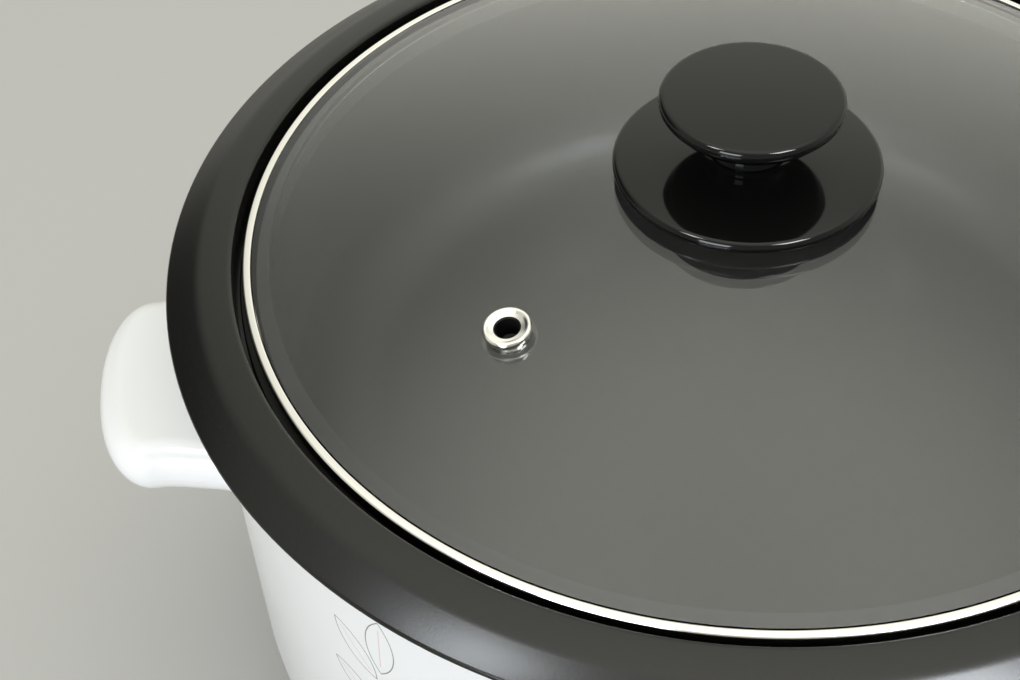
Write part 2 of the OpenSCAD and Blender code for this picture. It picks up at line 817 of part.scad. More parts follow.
// Open-ended spring of round wire, swept along its helix as one tube
module sensor_spring() {
    sides = 6;
    steps = 16;
    last = spring_turns * steps;
    wire_r = spring_wire_d / 2;
    low_z = spring_low_z + wire_r + part_gap;
    high_z = spring_high_z - wire_r - part_gap;
    points = [for (i = [0:last], s = [0:sides - 1])
        let (turn = 360 * i / steps,
             around = 360 * s / sides,
             out = spring_r + wire_r * cos(around))
        [out * cos(turn), out * sin(turn), low_z + (high_z - low_z) * i / last + wire_r * sin(around)]];
    skin = [for (i = [0:last - 1], s = [0:sides - 1])
        let (a = i * sides + s, b = i * sides + (s + 1) % sides)
        each [[a, b, b + sides], [a, b + sides, a + sides]]];
    ends = [for (s = [1:sides - 2])
        each [[0, s + 1, s], [last * sides, last * sides + s, last * sides + s + 1]]];
    color([0.6, 0.6, 0.62]) polyhedron(points, concat(skin, ends));
}

module sensor_guide() {
    color([0.85, 0.83, 0.78]) difference() {
        union() {
            translate([0, 0, guide_low_z]) cylinder(r = guide_r, h = guide_top_z - guide_low_z);
            translate([0, 0, liner_floor_z]) cylinder(r = guide_flange_r, h = guide_flange_t);
        }
        translate([0, 0, guide_low_z - eps])
            cylinder(r = stem_r + running_gap, h = guide_top_z - guide_low_z + 2 * eps);
        at_angles([0, 180], guide_flange_r - 3)
            translate([0, 0, liner_floor_z - eps])
                cylinder(r = screw_r + screw_gap, h = guide_flange_t + 2 * eps);
    }
}

// Screws that hang the guide's flange on the liner, heads up
module guide_screws() {
    color("silver")
        at_angles([0, 180], guide_flange_r - 3)
            translate([0, 0, spring_low_z]) mirror([0, 0, 1]) screw(screw_r, guide_flange_t + 3);
}

module thermal_fuse() {
    color([0.85, 0.8, 0.7])
        translate([fuse_x, fuse_l / 2, fuse_z]) rotate([90, 0, 0]) cylinder(r = fuse_r, h = fuse_l);
}

// Saddle strap that holds the fuse to the underside of the plate
module fuse_clip() {
    strap_r = fuse_r + 1;
    strap_w = 8;
    color([0.72, 0.72, 0.74]) difference() {
        union() {
            translate([fuse_x, strap_w / 2, fuse_z]) rotate([90, 0, 0])
                cylinder(r = strap_r, h = strap_w);
            translate([fuse_x - 2.4 * strap_r, -strap_w / 2, plate_z - 1])
                cube([4.8 * strap_r, strap_w, 1]);
        }
        translate([fuse_x, fuse_l / 2, fuse_z]) rotate([90, 0, 0])
            cylinder(r = fuse_r + screw_gap, h = fuse_l);
        translate([fuse_x - strap_r, -strap_w, plate_z]) cube([2 * strap_r, 2 * strap_w, strap_r]);
    }
}

module control_panel() {
    color("white") difference() {
        union() {
            difference() {
                upright_block(panel_w, panel_h, panel_corner_r, dial_z, panel_y, -shell_r / 2);
                upright_block(panel_w - 2 * panel_t, panel_h - 2 * panel_t,
                              panel_corner_r - panel_t, dial_z, panel_y + panel_t,
                              -shell_r / 2 + eps);
                shell_body();
            }
            for (x = [-1, 1], z = [-1, 1])
                translate([x * panel_boss_x, bracket_y, dial_z + z * panel_boss_z])
                    rotate([90, 0, 0])
                        cylinder(r = boss_r, h = bracket_y - panel_y - panel_t / 2);
        }
        for (x = [-1, 1], z = [-1, 1])
            translate([x * panel_boss_x, bracket_y + eps, dial_z + z * panel_boss_z])
                rotate([90, 0, 0]) cylinder(r = screw_r + screw_gap, h = 9);
        translate([0, panel_y + panel_t + eps, dial_z]) rotate([90, 0, 0])
            cylinder(r = shaft_d / 2 + 1, h = panel_t + 2 * eps);
        for (x = [-1, 1])
            translate([x * lens_at, panel_y + panel_t + eps, dial_z + lens_rise]) rotate([90, 0, 0])
                cylinder(r = lens_d / 2 + screw_gap, h = panel_t + 2 * eps);
    }
}

// Steel plate across the inside of the shell, cut to the shell's curve
module clamp_plate(y0, y1, h, z) {
    intersection() {
        translate([-shell_r, y0, z - h / 2]) cube([2 * shell_r, y1 - y0, h]);
        shell_cavity(part_gap);
    }
}

module control_bracket() {
    color([0.72, 0.72, 0.74]) difference() {
        clamp_plate(bracket_y, bracket_y + bracket_t, bracket_h, dial_z);
        translate([0, bracket_y + bracket_t + eps, dial_z]) rotate([90, 0, 0])
            cylinder(r = bush_r + screw_gap, h = bracket_t + 2 * eps);
        for (x = [-1, 1], z = [-1, 1])
            translate([x * panel_boss_x, bracket_y + bracket_t + eps, dial_z + z * panel_boss_z])
                rotate([90, 0, 0]) cylinder(r = screw_r + screw_gap, h = bracket_t + 2 * eps);
    }
}

module panel_screws() {
    color("silver")
        for (x = [-1, 1], z = [-1, 1])
            translate([x * panel_boss_x, bracket_y + bracket_t, dial_z + z * panel_boss_z])
                rotate([90, 0, 0]) screw(screw_r, bracket_t + 8);
}

// Knob with a pointer ridge, which points up at its off position
module temperature_knob() {
    color([0.12, 0.12, 0.12])
        translate([0, panel_y - dial_gap, dial_z]) rotate([90, 0, 0]) difference() {
            union() {
                revolve([[0, 0, 0],
                         [dial_d / 2, 0, 0.6],
                         [dial_d / 2, dial_rim_t, 0.6],
                         [dial_d / 2 - 2, dial_rim_t + 0.6, 0],
                         [dial_d / 2 - 3, 0.6 * dial_h, 1.2],
                         [0, 0.6 * dial_h, 0]]);
                translate([0, 0, 0.3 * dial_h]) linear_extrude(0.7 * dial_h)
                    rounded_rect(pointer_w, dial_d - 6, 3);
            }
            translate([0, 0, -eps]) cylinder(r = shaft_d / 2 + screw_gap, h = shaft_hold - 1);
        }
}

module knob_shaft() {
    tip_y = panel_y - dial_gap - shaft_hold + 1.5;
    color([0.75, 0.72, 0.6])
        translate([0, bracket_y + bracket_t + shaft_hold, dial_z]) rotate([90, 0, 0])
            cylinder(r = shaft_d / 2, h = bracket_y + bracket_t + shaft_hold - tip_y);
}

module thermostat() {
    back_y = bracket_y + bracket_t;
    color([0.3, 0.2, 0.12]) difference() {
        union() {
            translate([-thermostat_w / 2, back_y, dial_z - thermostat_h / 2])
                cube([thermostat_w, thermostat_l, thermostat_h]);
            translate([0, back_y, dial_z]) rotate([90, 0, 0])
                cylinder(r = bush_r, h = bracket_t + nut_t + 1.5);
            for (x = [-1, 1])
                translate([x * terminal_x - terminal_w / 2, back_y + thermostat_l - 1,
                           dial_z - terminal_t / 2])
                    cube([terminal_w, terminal_l + 1, terminal_t]);
        }
        translate([0, back_y + shaft_hold + 1, dial_z]) rotate([90, 0, 0])
            cylinder(r = shaft_d / 2 + running_gap, h = 3 * shaft_hold);
    }
}

module thermostat_nut() {
    color([0.78, 0.7, 0.45])
        translate([0, bracket_y, dial_z]) rotate([90, 0, 0]) difference() {
            cylinder(r = bush_r + 4, h = nut_t, $fn = 6);
            translate([0, 0, -eps]) cylinder(r = bush_r + screw_gap, h = nut_t + 2 * eps);
        }
}

// Hollow lens, held by the flange behind the panel's face
module lamp_lens(side) {
    translate([side * lens_at, panel_y + panel_t, dial_z + lens_rise]) rotate([90, 0, 0]) difference() {
        revolve([[0, -lens_l, 0],
                 [lens_d / 2, -lens_l, 0],
                 [lens_d / 2, -lens_flange_w, 0],
                 [lens_d / 2 + lens_flange_w, -lens_flange_w, 0],
                 [lens_d / 2 + lens_flange_w, 0, 0],
                 [lens_d / 2, 0, 0],
                 [lens_d / 2, panel_t + 1.6, 1.2],
                 [0, panel_t + 1.6, 0]]);
        translate([0, 0, -lens_l - eps]) cylinder(r = lens_d / 2 - lens_wall, h = lens_l + panel_t);
    }
}

module lamp_lens_power() {
    color([0.8, 0.1, 0.08]) lamp_lens(-1);
}

module lamp_lens_heat() {
    color([0.9, 0.55, 0.1]) lamp_lens(1);
}

module pilot_lamps() {
    color([0.95, 0.9, 0.85])
        for (x = [-1, 1])
            translate([x * lens_at, panel_y + panel_t + lens_l, dial_z + lens_rise]) rotate([90, 0, 0])
                cylinder(r = lens_d / 2 - lens_wall - screw_gap, h = lens_l);
}

module inlet_housing() {
    color([0.16, 0.16, 0.16]) difference() {
        union() {
            difference() {
                upright_block(inlet_w, inlet_h, 6, inlet_z, shell_r / 2, inlet_y);
                shell_body();
            }
            upright_block(inlet_body_w, inlet_body_h, opening_corner_r, inlet_z, inlet_back_y, inlet_y - 2);
        }
        upright_block(socket_w, socket_h, 5, inlet_z, socket_back_y, inlet_y + eps);
        for (side = [-1, 1]) {
            translate([side * pin_pitch / 2, socket_back_y + eps, inlet_z]) rotate([90, 0, 0])
                cylinder(r = pin_r + screw_gap, h = 9);
            translate([side * pin_pitch, inlet_back_y - eps, inlet_z]) rotate([-90, 0, 0])
                cylinder(r = screw_r + screw_gap, h = 6);
        }
        translate([-contact_w / 2 - screw_gap, inlet_back_y - eps,
                   inlet_z + socket_h / 2 - contact_t - screw_gap])
            cube([contact_w + 2 * screw_gap, 9, contact_t + 2 * screw_gap]);
    }
}

module inlet_pins() {
    color([0.8, 0.8, 0.82])
        for (side = [-1, 1])
            translate([side * pin_pitch / 2, inlet_back_y - pin_back, inlet_z])
                rotate([-90, 0, 0]) {
                    cylinder(r = pin_r, h = socket_depth + pin_back + 8 - pin_r - 3);
                    translate([0, 0, socket_depth + pin_back + 8 - pin_r - 3]) sphere(pin_r);
                }
}

module earth_contact() {
    color([0.75, 0.65, 0.4])
        translate([-contact_w / 2, inlet_back_y - pin_back, inlet_z + socket_h / 2 - contact_t])
            cube([contact_w, socket_depth + pin_back + 2, contact_t]);
}

module inlet_bracket() {
    color([0.72, 0.72, 0.74]) difference() {
        clamp_plate(inlet_back_y - bracket_t, inlet_back_y, inlet_body_h - 2, inlet_z);
        upright_block(pin_pitch + pin_d + 6, inlet_body_h - 8, 2, inlet_z + 2.5,
                      inlet_back_y - bracket_t - eps, inlet_back_y + eps);
        for (side = [-1, 1])
            translate([side * pin_pitch, inlet_back_y + eps, inlet_z]) rotate([90, 0, 0])
                cylinder(r = screw_r + screw_gap, h = bracket_t + 2 * eps);
    }
}

module inlet_screws() {
    color("silver")
        for (side = [-1, 1])
            translate([side * pin_pitch, inlet_back_y - bracket_t, inlet_z])
                rotate([-90, 0, 0]) screw(screw_r, bracket_t + 5);
}

// From the inlet to the thermostat, and on to the heater tube's first pin
module live_wires() {
    terminal_y = bracket_y + bracket_t + thermostat_l + terminal_l + wire_r + screw_gap;
    color([0.5, 0.25, 0.12]) {
        wire([[pin_pitch / 2, inlet_back_y - pin_back - screw_gap, inlet_z],
              [pin_pitch / 2, inlet_back_y - pin_back - 8, inlet_z],
              [wire_x, inlet_back_y - 46, wire_low_z],
              [wire_x, terminal_y + 37, wire_low_z],
              [terminal_x, terminal_y, wire_low_z + 4],
              [terminal_x, terminal_y, dial_z]], wire_r);
        wire([[-terminal_x, terminal_y, dial_z],
              [-pin_x, pin_y, dial_z],
              [-pin_x, pin_y, pin_low_z - screw_gap]], wire_r);
    }
}

// From the inlet through the thermal fuse to the heater tube's other pin
module neutral_wires() {
    lead_y = fuse_l / 2 + lead_out;
    color([0.2, 0.35, 0.7]) {
        wire([[-pin_pitch / 2, inlet_back_y - pin_back - screw_gap, inlet_z],
              [-pin_pitch / 2, inlet_back_y - pin_back - 8, inlet_z],
              [fuse_x, inlet_back_y - 56, wire_low_z],
              [fuse_x, lead_y, wire_low_z],
              [fuse_x, lead_y, fuse_z],
              [fuse_x, fuse_l / 2 + screw_gap, fuse_z]], lead_r);
        wire([[fuse_x, -fuse_l / 2 - screw_gap, fuse_z],
              [fuse_x, -lead_y, fuse_z],
              [fuse_x, -lead_y, wire_low_z],
              [pin_x, pin_y / 2, wire_low_z],
              [pin_x, pin_y, wire_low_z],
              [pin_x, pin_y, pin_low_z - screw_gap]], lead_r);
    }
}

// From the earth contact up to the liner's floor
module earth_wire() {
    contact_z = inlet_z + socket_h / 2 - contact_t / 2;
    start_y = inlet_back_y - pin_back - screw_gap;
    color([0.45, 0.65, 0.15])
        wire([[0, start_y, contact_z],
              [0, start_y - 6, contact_z],
              [0, start_y - 20, contact_z],
              [0, start_y - 20, liner_z - screw_gap]], wire_r);
}

module inner_pot() {
    out_r = mouth_r + pot_t;
    color([0.08, 0.08, 0.08])
        revolve([[0, plate_top_z, 0],
                 [base_r + pot_t, plate_top_z, pot_corner_r + pot_t],
                 [out_r, flange_z, 0],
                 [flange_r, flange_z, 0.5],
                 [flange_r, flange_top_z, 0.5],
                 [mouth_r, flange_top_z, 1.2],
                 [base_r, pot_floor_z, pot_corner_r],
                 [0, pot_floor_z, 0]]);
}

module lid_glass() {
    inner_r = dome_r - glass_t;
    color([0.75, 0.8, 0.8, 0.35]) difference() {
        rotate_extrude()
            polygon(concat(dome_arc(dome_r, 0, glass_r), dome_arc(inner_r, glass_r, 0)));
        translate([0, 0, rim_z])
            cylinder(r = knob_screw_d / 2 + 1, h = 2 * glass_rise);
        at_vent() translate([0, 0, -2 * glass_t]) cylinder(r = vent_barrel_r() + screw_gap,
                                                           h = 3 * glass_t);
    }
}

// Radius of the eyelet's barrel outside
function vent_barrel_r() = vent_hole_d / 2 + vent_t;

// Level of the rim's lip, under the seal at the glass's edge
function rim_lip_z() = dome_height(dome_r - glass_t, glass_r) - seal_t;

// Rolled steel channel: its outer band stands on the pot's flange, its skirt hangs in the mouth
module lid_rim() {
    lip_under_z = rim_lip_z() - rim_lip_t;
    color([0.85, 0.85, 0.86])
        revolve([[rim_r, flange_top_z, 0],
                 [rim_r, rim_z, 0.7],
                 [rim_r - rim_t, rim_z, 0.5],
                 [rim_r - rim_t, rim_lip_z(), 0],
                 [rim_skirt_r - rim_lip_t, rim_lip_z(), 0.3],
                 [rim_skirt_r - rim_lip_t, lip_under_z - rim_skirt_h, 0],
                 [rim_skirt_r, lip_under_z - rim_skirt_h, 0],
                 [rim_skirt_r, lip_under_z, 0],
                 [rim_r - rim_t, lip_under_z, 0],
                 [rim_r - rim_t, flange_top_z, 0]]);
}

// The seal lies on the whole of the rim's lip
module lid_seal() {
    in_r = rim_skirt_r - rim_lip_t;
    color([0.05, 0.05, 0.05])
        rotate_extrude()
            polygon(concat([[in_r, rim_lip_z()], [glass_r, rim_lip_z()]],
                           dome_arc(dome_r - glass_t - film_gap, glass_r, in_r, 4)));
}

// Shallow disc on a round foot that stands just off the glass
module knob_saucer() {
    seat_z = dome_top_z + washer_t;
    top_z = seat_z + saucer_h;
    edge_r = saucer_d / 2;
    edge_z = dome_height(dome_r, edge_r) + saucer_lift;
    foot_r = 0.49 * edge_r;
    color([0.06, 0.06, 0.06])
        revolve([[knob_screw_d / 2 + screw_gap, seat_z, 0],
                 [washer_r + part_gap, seat_z, 0],
                 [foot_r, dome_height(dome_r, foot_r) + part_gap, 0.3],
                 [foot_r, edge_z + 0.6, 0],
                 [edge_r - 2, edge_z, 0.8],
                 [edge_r, edge_z + 0.9, 0.7],
                 [edge_r, edge_z + saucer_edge_t, 1.5],
                 [neck_d / 2 + 1.2, top_z - 0.5, 3],
                 [neck_d / 2 + 0.6, top_z, 0],
                 [knob_screw_d / 2 + screw_gap, top_z, 0]]);
}

// Mushroom grip: a narrow neck under a broad disc with a gently crowned top
module knob_grip() {
    low_z = dome_top_z + washer_t + saucer_h;
    top_z = low_z + grip_h;
    edge_r = grip_d / 2;
    edge_z = top_z - grip_edge_t;
    color([0.06, 0.06, 0.06]) difference() {
        revolve([[0, low_z, 0],
                 [neck_d / 2, low_z, 0.4],
                 [neck_d / 2 - 1, low_z + 0.25 * grip_h, 4],
                 [neck_d / 2 + 1.4, edge_z - 2.2, 4],
                 [edge_r - 1.3, edge_z, 1.2],
                 [edge_r, edge_z + 3.4, 3],
                 [edge_r - 0.2, top_z - 0.7, 2],
                 [edge_r / 2, top_z, 300],
                 [0, top_z, 0]]);
        translate([0, 0, low_z - eps])
            cylinder(r = knob_screw_d / 2 + screw_gap, h = 0.7 * grip_h);
    }
}

// Underside of the washer that is pressed against the glass from below
function under_washer_z() = dome_height(dome_r - glass_t, washer_r) - washer_t;

// Dome-headed screw from under the glass up into the grip
module knob_screw() {
    head_z = under_washer_z();
    color([0.8, 0.8, 0.82]) {
        translate([0, 0, head_z])
            cylinder(r = knob_screw_d / 2, h = dome_top_z + washer_t + saucer_h + 0.6 * grip_h - head_z);
        revolve([[0, head_z - 2.5, 0],
                 [2.4, head_z - 2.5, 0],
                 [knob_screw_d / 2 + 3.5, head_z - 1, 0.6],
                 [knob_screw_d / 2 + 3.5, head_z, 0],
                 [0, head_z, 0]]);
    }
}

module knob_washers() {
    color([0.12, 0.12, 0.12])
        for (z = [dome_top_z, under_washer_z()])
            translate([0, 0, z]) difference() {
                cylinder(r = washer_r, h = washer_t);
                translate([0, 0, -eps])
                    cylinder(r = knob_screw_d / 2 + screw_gap, h = washer_t + 2 * eps);
            }
}

// Dished eyelet: its flange lies on the glass and its barrel is rolled out under the gasket
module vent_eyelet() {
    barrel_r = vent_barrel_r();
    flange_r = vent_flange_d / 2;
    low = -glass_t - washer_t - screw_gap;
    color([0.85, 0.85, 0.86])
        at_vent()
            revolve([[vent_hole_d / 2, low - vent_t, 0],
                     [barrel_r + 1, low - vent_t, 0.3],
                     [barrel_r + 1, low, 0],
                     [barrel_r, low, 0],
                     [barrel_r, 0, 0],
                     [flange_r, 0, 0.3],
                     [flange_r, vent_flange_h, 0.8],
                     [barrel_r + 0.4, vent_flange_h - 0.9, 0.6],
                     [vent_hole_d / 2, vent_flange_h - 1.2, 0]]);
}

module vent_gasket() {
    color([0.75, 0.75, 0.73])
        at_vent() translate([0, 0, -glass_t - washer_t - screw_gap / 2]) difference() {
            cylinder(r = vent_flange_d / 2 + 0.8, h = washer_t);
            translate([0, 0, -eps])
                cylinder(r = vent_barrel_r() + screw_gap, h = washer_t + 2 * eps);
        }
}

outer_shell();
top_collar();
handle_left();
handle_right();
handle_screws();
collar_screws();
base_cover();
base_screws();
tie_screws();
foot_front_left();
foot_front_right();
foot_rear_left();
foot_rear_right();
inner_liner();
heating_plate();
heater_tube();
plate_posts();
sensor_cap();
sensor_stem();
sensor_clip();
sensor_spring();
sensor_guide();
guide_screws();
thermal_fuse();
fuse_clip();
control_panel();
control_bracket();
panel_screws();
temperature_knob();
knob_shaft();
thermostat();
thermostat_nut();
lamp_lens_power();
lamp_lens_heat();
pilot_lamps();
inlet_housing();
inlet_pins();
earth_contact();
inlet_bracket();
inlet_screws();
live_wires();
neutral_wires();
earth_wire();
inner_pot();
lid_glass();
lid_rim();
lid_seal();
knob_grip();
knob_saucer();
knob_screw();
knob_washers();
vent_eyelet();
vent_gasket();
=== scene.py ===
from math import acos, asin, atan2, cos, degrees, hypot, pi, radians, sin, sqrt, tan

import bmesh
import bpy
from mathutils import Matrix, Quaternion, Vector


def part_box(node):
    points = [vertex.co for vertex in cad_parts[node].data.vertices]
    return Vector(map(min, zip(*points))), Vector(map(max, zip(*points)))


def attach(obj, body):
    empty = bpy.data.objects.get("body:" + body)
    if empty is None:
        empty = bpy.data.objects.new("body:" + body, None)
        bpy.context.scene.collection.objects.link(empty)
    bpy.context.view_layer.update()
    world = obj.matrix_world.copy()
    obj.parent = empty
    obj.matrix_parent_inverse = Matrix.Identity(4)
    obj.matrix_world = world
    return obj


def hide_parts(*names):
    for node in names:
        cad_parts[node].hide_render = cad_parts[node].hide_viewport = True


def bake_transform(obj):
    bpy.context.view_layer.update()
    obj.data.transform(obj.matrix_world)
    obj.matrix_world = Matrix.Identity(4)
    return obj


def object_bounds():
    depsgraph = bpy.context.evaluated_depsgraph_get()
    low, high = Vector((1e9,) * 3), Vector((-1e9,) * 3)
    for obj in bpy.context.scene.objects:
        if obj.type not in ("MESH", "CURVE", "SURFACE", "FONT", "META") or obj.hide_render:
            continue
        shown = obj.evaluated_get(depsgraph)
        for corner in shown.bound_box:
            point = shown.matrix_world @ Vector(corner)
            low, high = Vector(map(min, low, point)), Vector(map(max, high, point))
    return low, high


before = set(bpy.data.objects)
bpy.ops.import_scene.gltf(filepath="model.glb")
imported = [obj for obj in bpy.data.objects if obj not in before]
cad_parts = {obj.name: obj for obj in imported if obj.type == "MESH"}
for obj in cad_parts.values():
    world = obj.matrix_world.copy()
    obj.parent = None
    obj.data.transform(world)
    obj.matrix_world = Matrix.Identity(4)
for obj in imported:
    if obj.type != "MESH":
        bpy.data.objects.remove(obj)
cad_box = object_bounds()
mm = 0.001

# Camera: it looks down on the lid from the pot's left front, close enough that the collar runs out
# of the picture, and leans a few degrees to one side.
camera_data = bpy.data.cameras.new("camera")
camera_data.sensor_width = 36
camera_data.lens = 57.43
camera_data.clip_start = 0.01
camera = bpy.data.objects.new("camera", camera_data)
bpy.context.scene.collection.objects.link(camera)
bpy.context.scene.camera = camera
rim_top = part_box("lid_rim")[1].z / mm
camera_above_rim = 282.5
camera_lean = -3.045
camera.location = Vector((-92.6, -308.7, rim_top + camera_above_rim)) * mm
aim = Vector((-65.6, -34.0, rim_top)) * mm
camera.rotation_mode = "QUATERNION"
camera.rotation_quaternion = ((aim - camera.location).to_track_quat("-Z", "Y")
                              @ Quaternion((0, 0, 1), radians(camera_lean)))

# Studio: a warm white room, brightest overhead and at the back, with a dark corner at the rear
# left, so that glossy parts show soft gradients. Soft boxes light it from the front and the left.
scene = bpy.context.scene
scene.view_settings.view_transform = "Standard"
room = bpy.data.worlds.new("room")
scene.world = room
room.use_nodes = True
room_nodes, room_links = room.node_tree.nodes, room.node_tree.links
direction = room_nodes.new("ShaderNodeTexCoord").outputs["Generated"]


def lobe(toward, start, end, low, high):
    """Smooth change of brightness, from low to high, as the gaze turns toward a direction."""
    facing = room_nodes.new("ShaderNodeVectorMath")
    facing.operation = "DOT_PRODUCT"
    facing.inputs[1].default_value = Vector(toward).normalized()
    room_links.new(direction, facing.inputs[0])
    soft = room_nodes.new("ShaderNodeMapRange")
    soft.interpolation_type = "SMOOTHSTEP"
    for label, value in (("From Min", start), ("From Max", end), ("To Min", low), ("To Max", high)):
        soft.inputs[label].default_value = value
    room_links.new(facing.outputs["Value"], soft.inputs["Value"])
    return soft.outputs["Result"]


def combine(operation, first, second):
    """Sum or product of two brightnesses of the room."""
    both = room_nodes.new("ShaderNodeMath")
    both.operation = operation
    room_links.new(first, both.inputs[0])
    room_links.new(second, both.inputs[1])
    return both.outputs["Value"]


walls = combine("MULTIPLY", lobe((0, -1, 0.2), 0, 0.8, 1.0, 0.5),
                lobe((-1, 0.3, 0), 0.1, 0.6, 1.0, 0.7))
walls = combine("MULTIPLY", walls, lobe((-0.75, 0.62, 0.25), 0.86, 0.985, 1.0, 0.1))
windows = combine("ADD", lobe((0.05, 0.05, 1), 0.72, 1.0, 0, 0.9),
                  lobe((0.2, 0.95, 0.25), 0.8, 1.0, 0, 0.2))
glow = combine("ADD", walls, windows)
backdrop = room_nodes["Background"]
backdrop.inputs["Color"].default_value = (1.0, 0.995, 0.9, 1)
room_links.new(glow, backdrop.inputs["Strength"])


def soft_light(name, place, target, width, length, power, glossy=True, diffuse=True):
    """Soft box turned toward a target, which may light only matt or only glossy surfaces."""
    lamp = bpy.data.lights.new(name, "AREA")
    lamp.shape = "RECTANGLE"
    lamp.size, lamp.size_y = width, length
    lamp.energy = power
    lamp.color = (0.9, 0.95, 1.0)
    holder = bpy.data.objects.new(name, lamp)
    scene.collection.objects.link(holder)
    holder.location = place
    holder.rotation_mode = "QUATERNION"
    holder.rotation_quaternion = (Vector(target) - Vector(place)).to_track_quat("-Z", "Y")
    holder.visible_glossy = holder.visible_transmission = glossy
    holder.visible_diffuse = diffuse


pot_middle = (0, 0, 0.12)
soft_light("front_left_light", (-1.25, -1.74, 0.9), pot_middle, 0.9, 1.1, 34)
soft_light("upper_left_light", (-0.97, -0.4, 1.74), pot_middle, 0.32, 0.5, 11, diffuse=False)
soft_light("upper_right_light", (0.62, -0.78, 1.72), pot_middle, 0.55, 0.5, 25, diffuse=False)
soft_light("rear_right_light", (1.4, 1.3, 1.3), pot_middle, 1.2, 1.2, 5, glossy=False)

floor_mesh = bmesh.new()
bmesh.ops.create_grid(floor_mesh, x_segments=1, y_segments=1, size=30)
floor_data = bpy.data.meshes.new("floor")
floor_mesh.to_mesh(floor_data)
floor = bpy.data.objects.new("floor", floor_data)
scene.collection.objects.link(floor)
floor.location.z = cad_box[0].z - 0.0002
floor_finish = bpy.data.materials.new("pale_floor")
floor_finish.use_nodes = True
floor_shader = floor_finish.node_tree.nodes["Principled BSDF"]
floor_shader.inputs["Base Color"].default_value = (0.42, 0.415, 0.405, 1)
floor_shader.inputs["Roughness"].default_value = 0.7
floor_data.materials.append(floor_finish)


# Rubber feet: moulded black rubber with a barbed stem that is pushed through the base cover.
def new_material(name):
    """Material with its node tree and its Principled shader."""
    material = bpy.data.materials.new(name)
    material.use_nodes = True
    return material, material.node_tree, material.node_tree.nodes["Principled BSDF"]


def grain_group():
    """Group that puts out a fine moulded grain as a height, and a broad unevenness as a mask."""
    group = bpy.data.node_groups.new("moulded_grain", "ShaderNodeTree")
    for label, kind, where, value in (("Grain Size", "NodeSocketFloat", "INPUT", 900),
                                      ("Patch Size", "NodeSocketFloat", "INPUT", 14)):
        group.interface.new_socket(label, in_out=where, socket_type=kind).default_value = value
    group.interface.new_socket("Height", in_out="OUTPUT", socket_type="NodeSocketFloat")
    group.interface.new_socket("Patches", in_out="OUTPUT", socket_type="NodeSocketFloat")
    nodes, links = group.nodes, group.links
    entry, leave = nodes.new("NodeGroupInput"), nodes.new("NodeGroupOutput")
    place = nodes.new("ShaderNodeTexCoord")
    for size, detail, result in (("Grain Size", 3, "Height"), ("Patch Size", 4, "Patches")):
        noise = nodes.new("ShaderNodeTexNoise")
        noise.inputs["Detail"].default_value = detail
        links.new(place.outputs["Object"], noise.inputs["Vector"])
        links.new(entry.outputs[size], noise.inputs["Scale"])
        links.new(noise.outputs["Fac"], leave.inputs[result])
    return group


moulded_grain = grain_group()


def moulded_plastic(name, color, roughness, spread=0.08, grain=900, bump=0.00002, coat=0.0,
                    shine=0.5):
    """Moulded plastic or rubber: even colour, uneven gloss and a fine grain."""
    material, tree, shader = new_material(name)
    shader.inputs["Base Color"].default_value = (*color, 1)
    shader.inputs["Specular IOR Level"].default_value = shine
    shader.inputs["Coat Weight"].default_value = coat
    shader.inputs["Coat Roughness"].default_value = 0.08
    surface = tree.nodes.new("ShaderNodeGroup")
    surface.node_tree = moulded_grain
    surface.inputs["Grain Size"].default_value = grain
    gloss = tree.nodes.new("ShaderNodeMapRange")
    gloss.inputs["To Min"].default_value = roughness - spread
    gloss.inputs["To Max"].default_value = roughness + spread
    tree.links.new(surface.outputs["Patches"], gloss.inputs["Value"])
    tree.links.new(gloss.outputs["Result"], shader.inputs["Roughness"])
    relief = tree.nodes.new("ShaderNodeBump")
    relief.inputs["Strength"].default_value = 1.0
    relief.inputs["Distance"].default_value = bump
    tree.links.new(surface.outputs["Height"], relief.inputs["Height"])
    tree.links.new(relief.outputs["Normal"], shader.inputs["Normal"])
    return material


def finish(name, shape, material, body, slot, *nodes, sharp=32):
    """Makes the piece of a finished bmesh, shaded smooth up to its sharp edges."""
    data = bpy.data.meshes.new(name)
    shape.to_mesh(data)
    shape.free()
    data.shade_smooth()
    data.set_sharp_from_angle(angle=radians(sharp))
    data.materials.append(material)
    piece = bpy.data.objects.new(name, data)
    scene.collection.objects.link(piece)
    if body:
        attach(piece, body)
    if nodes:
        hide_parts(*nodes)
    return piece


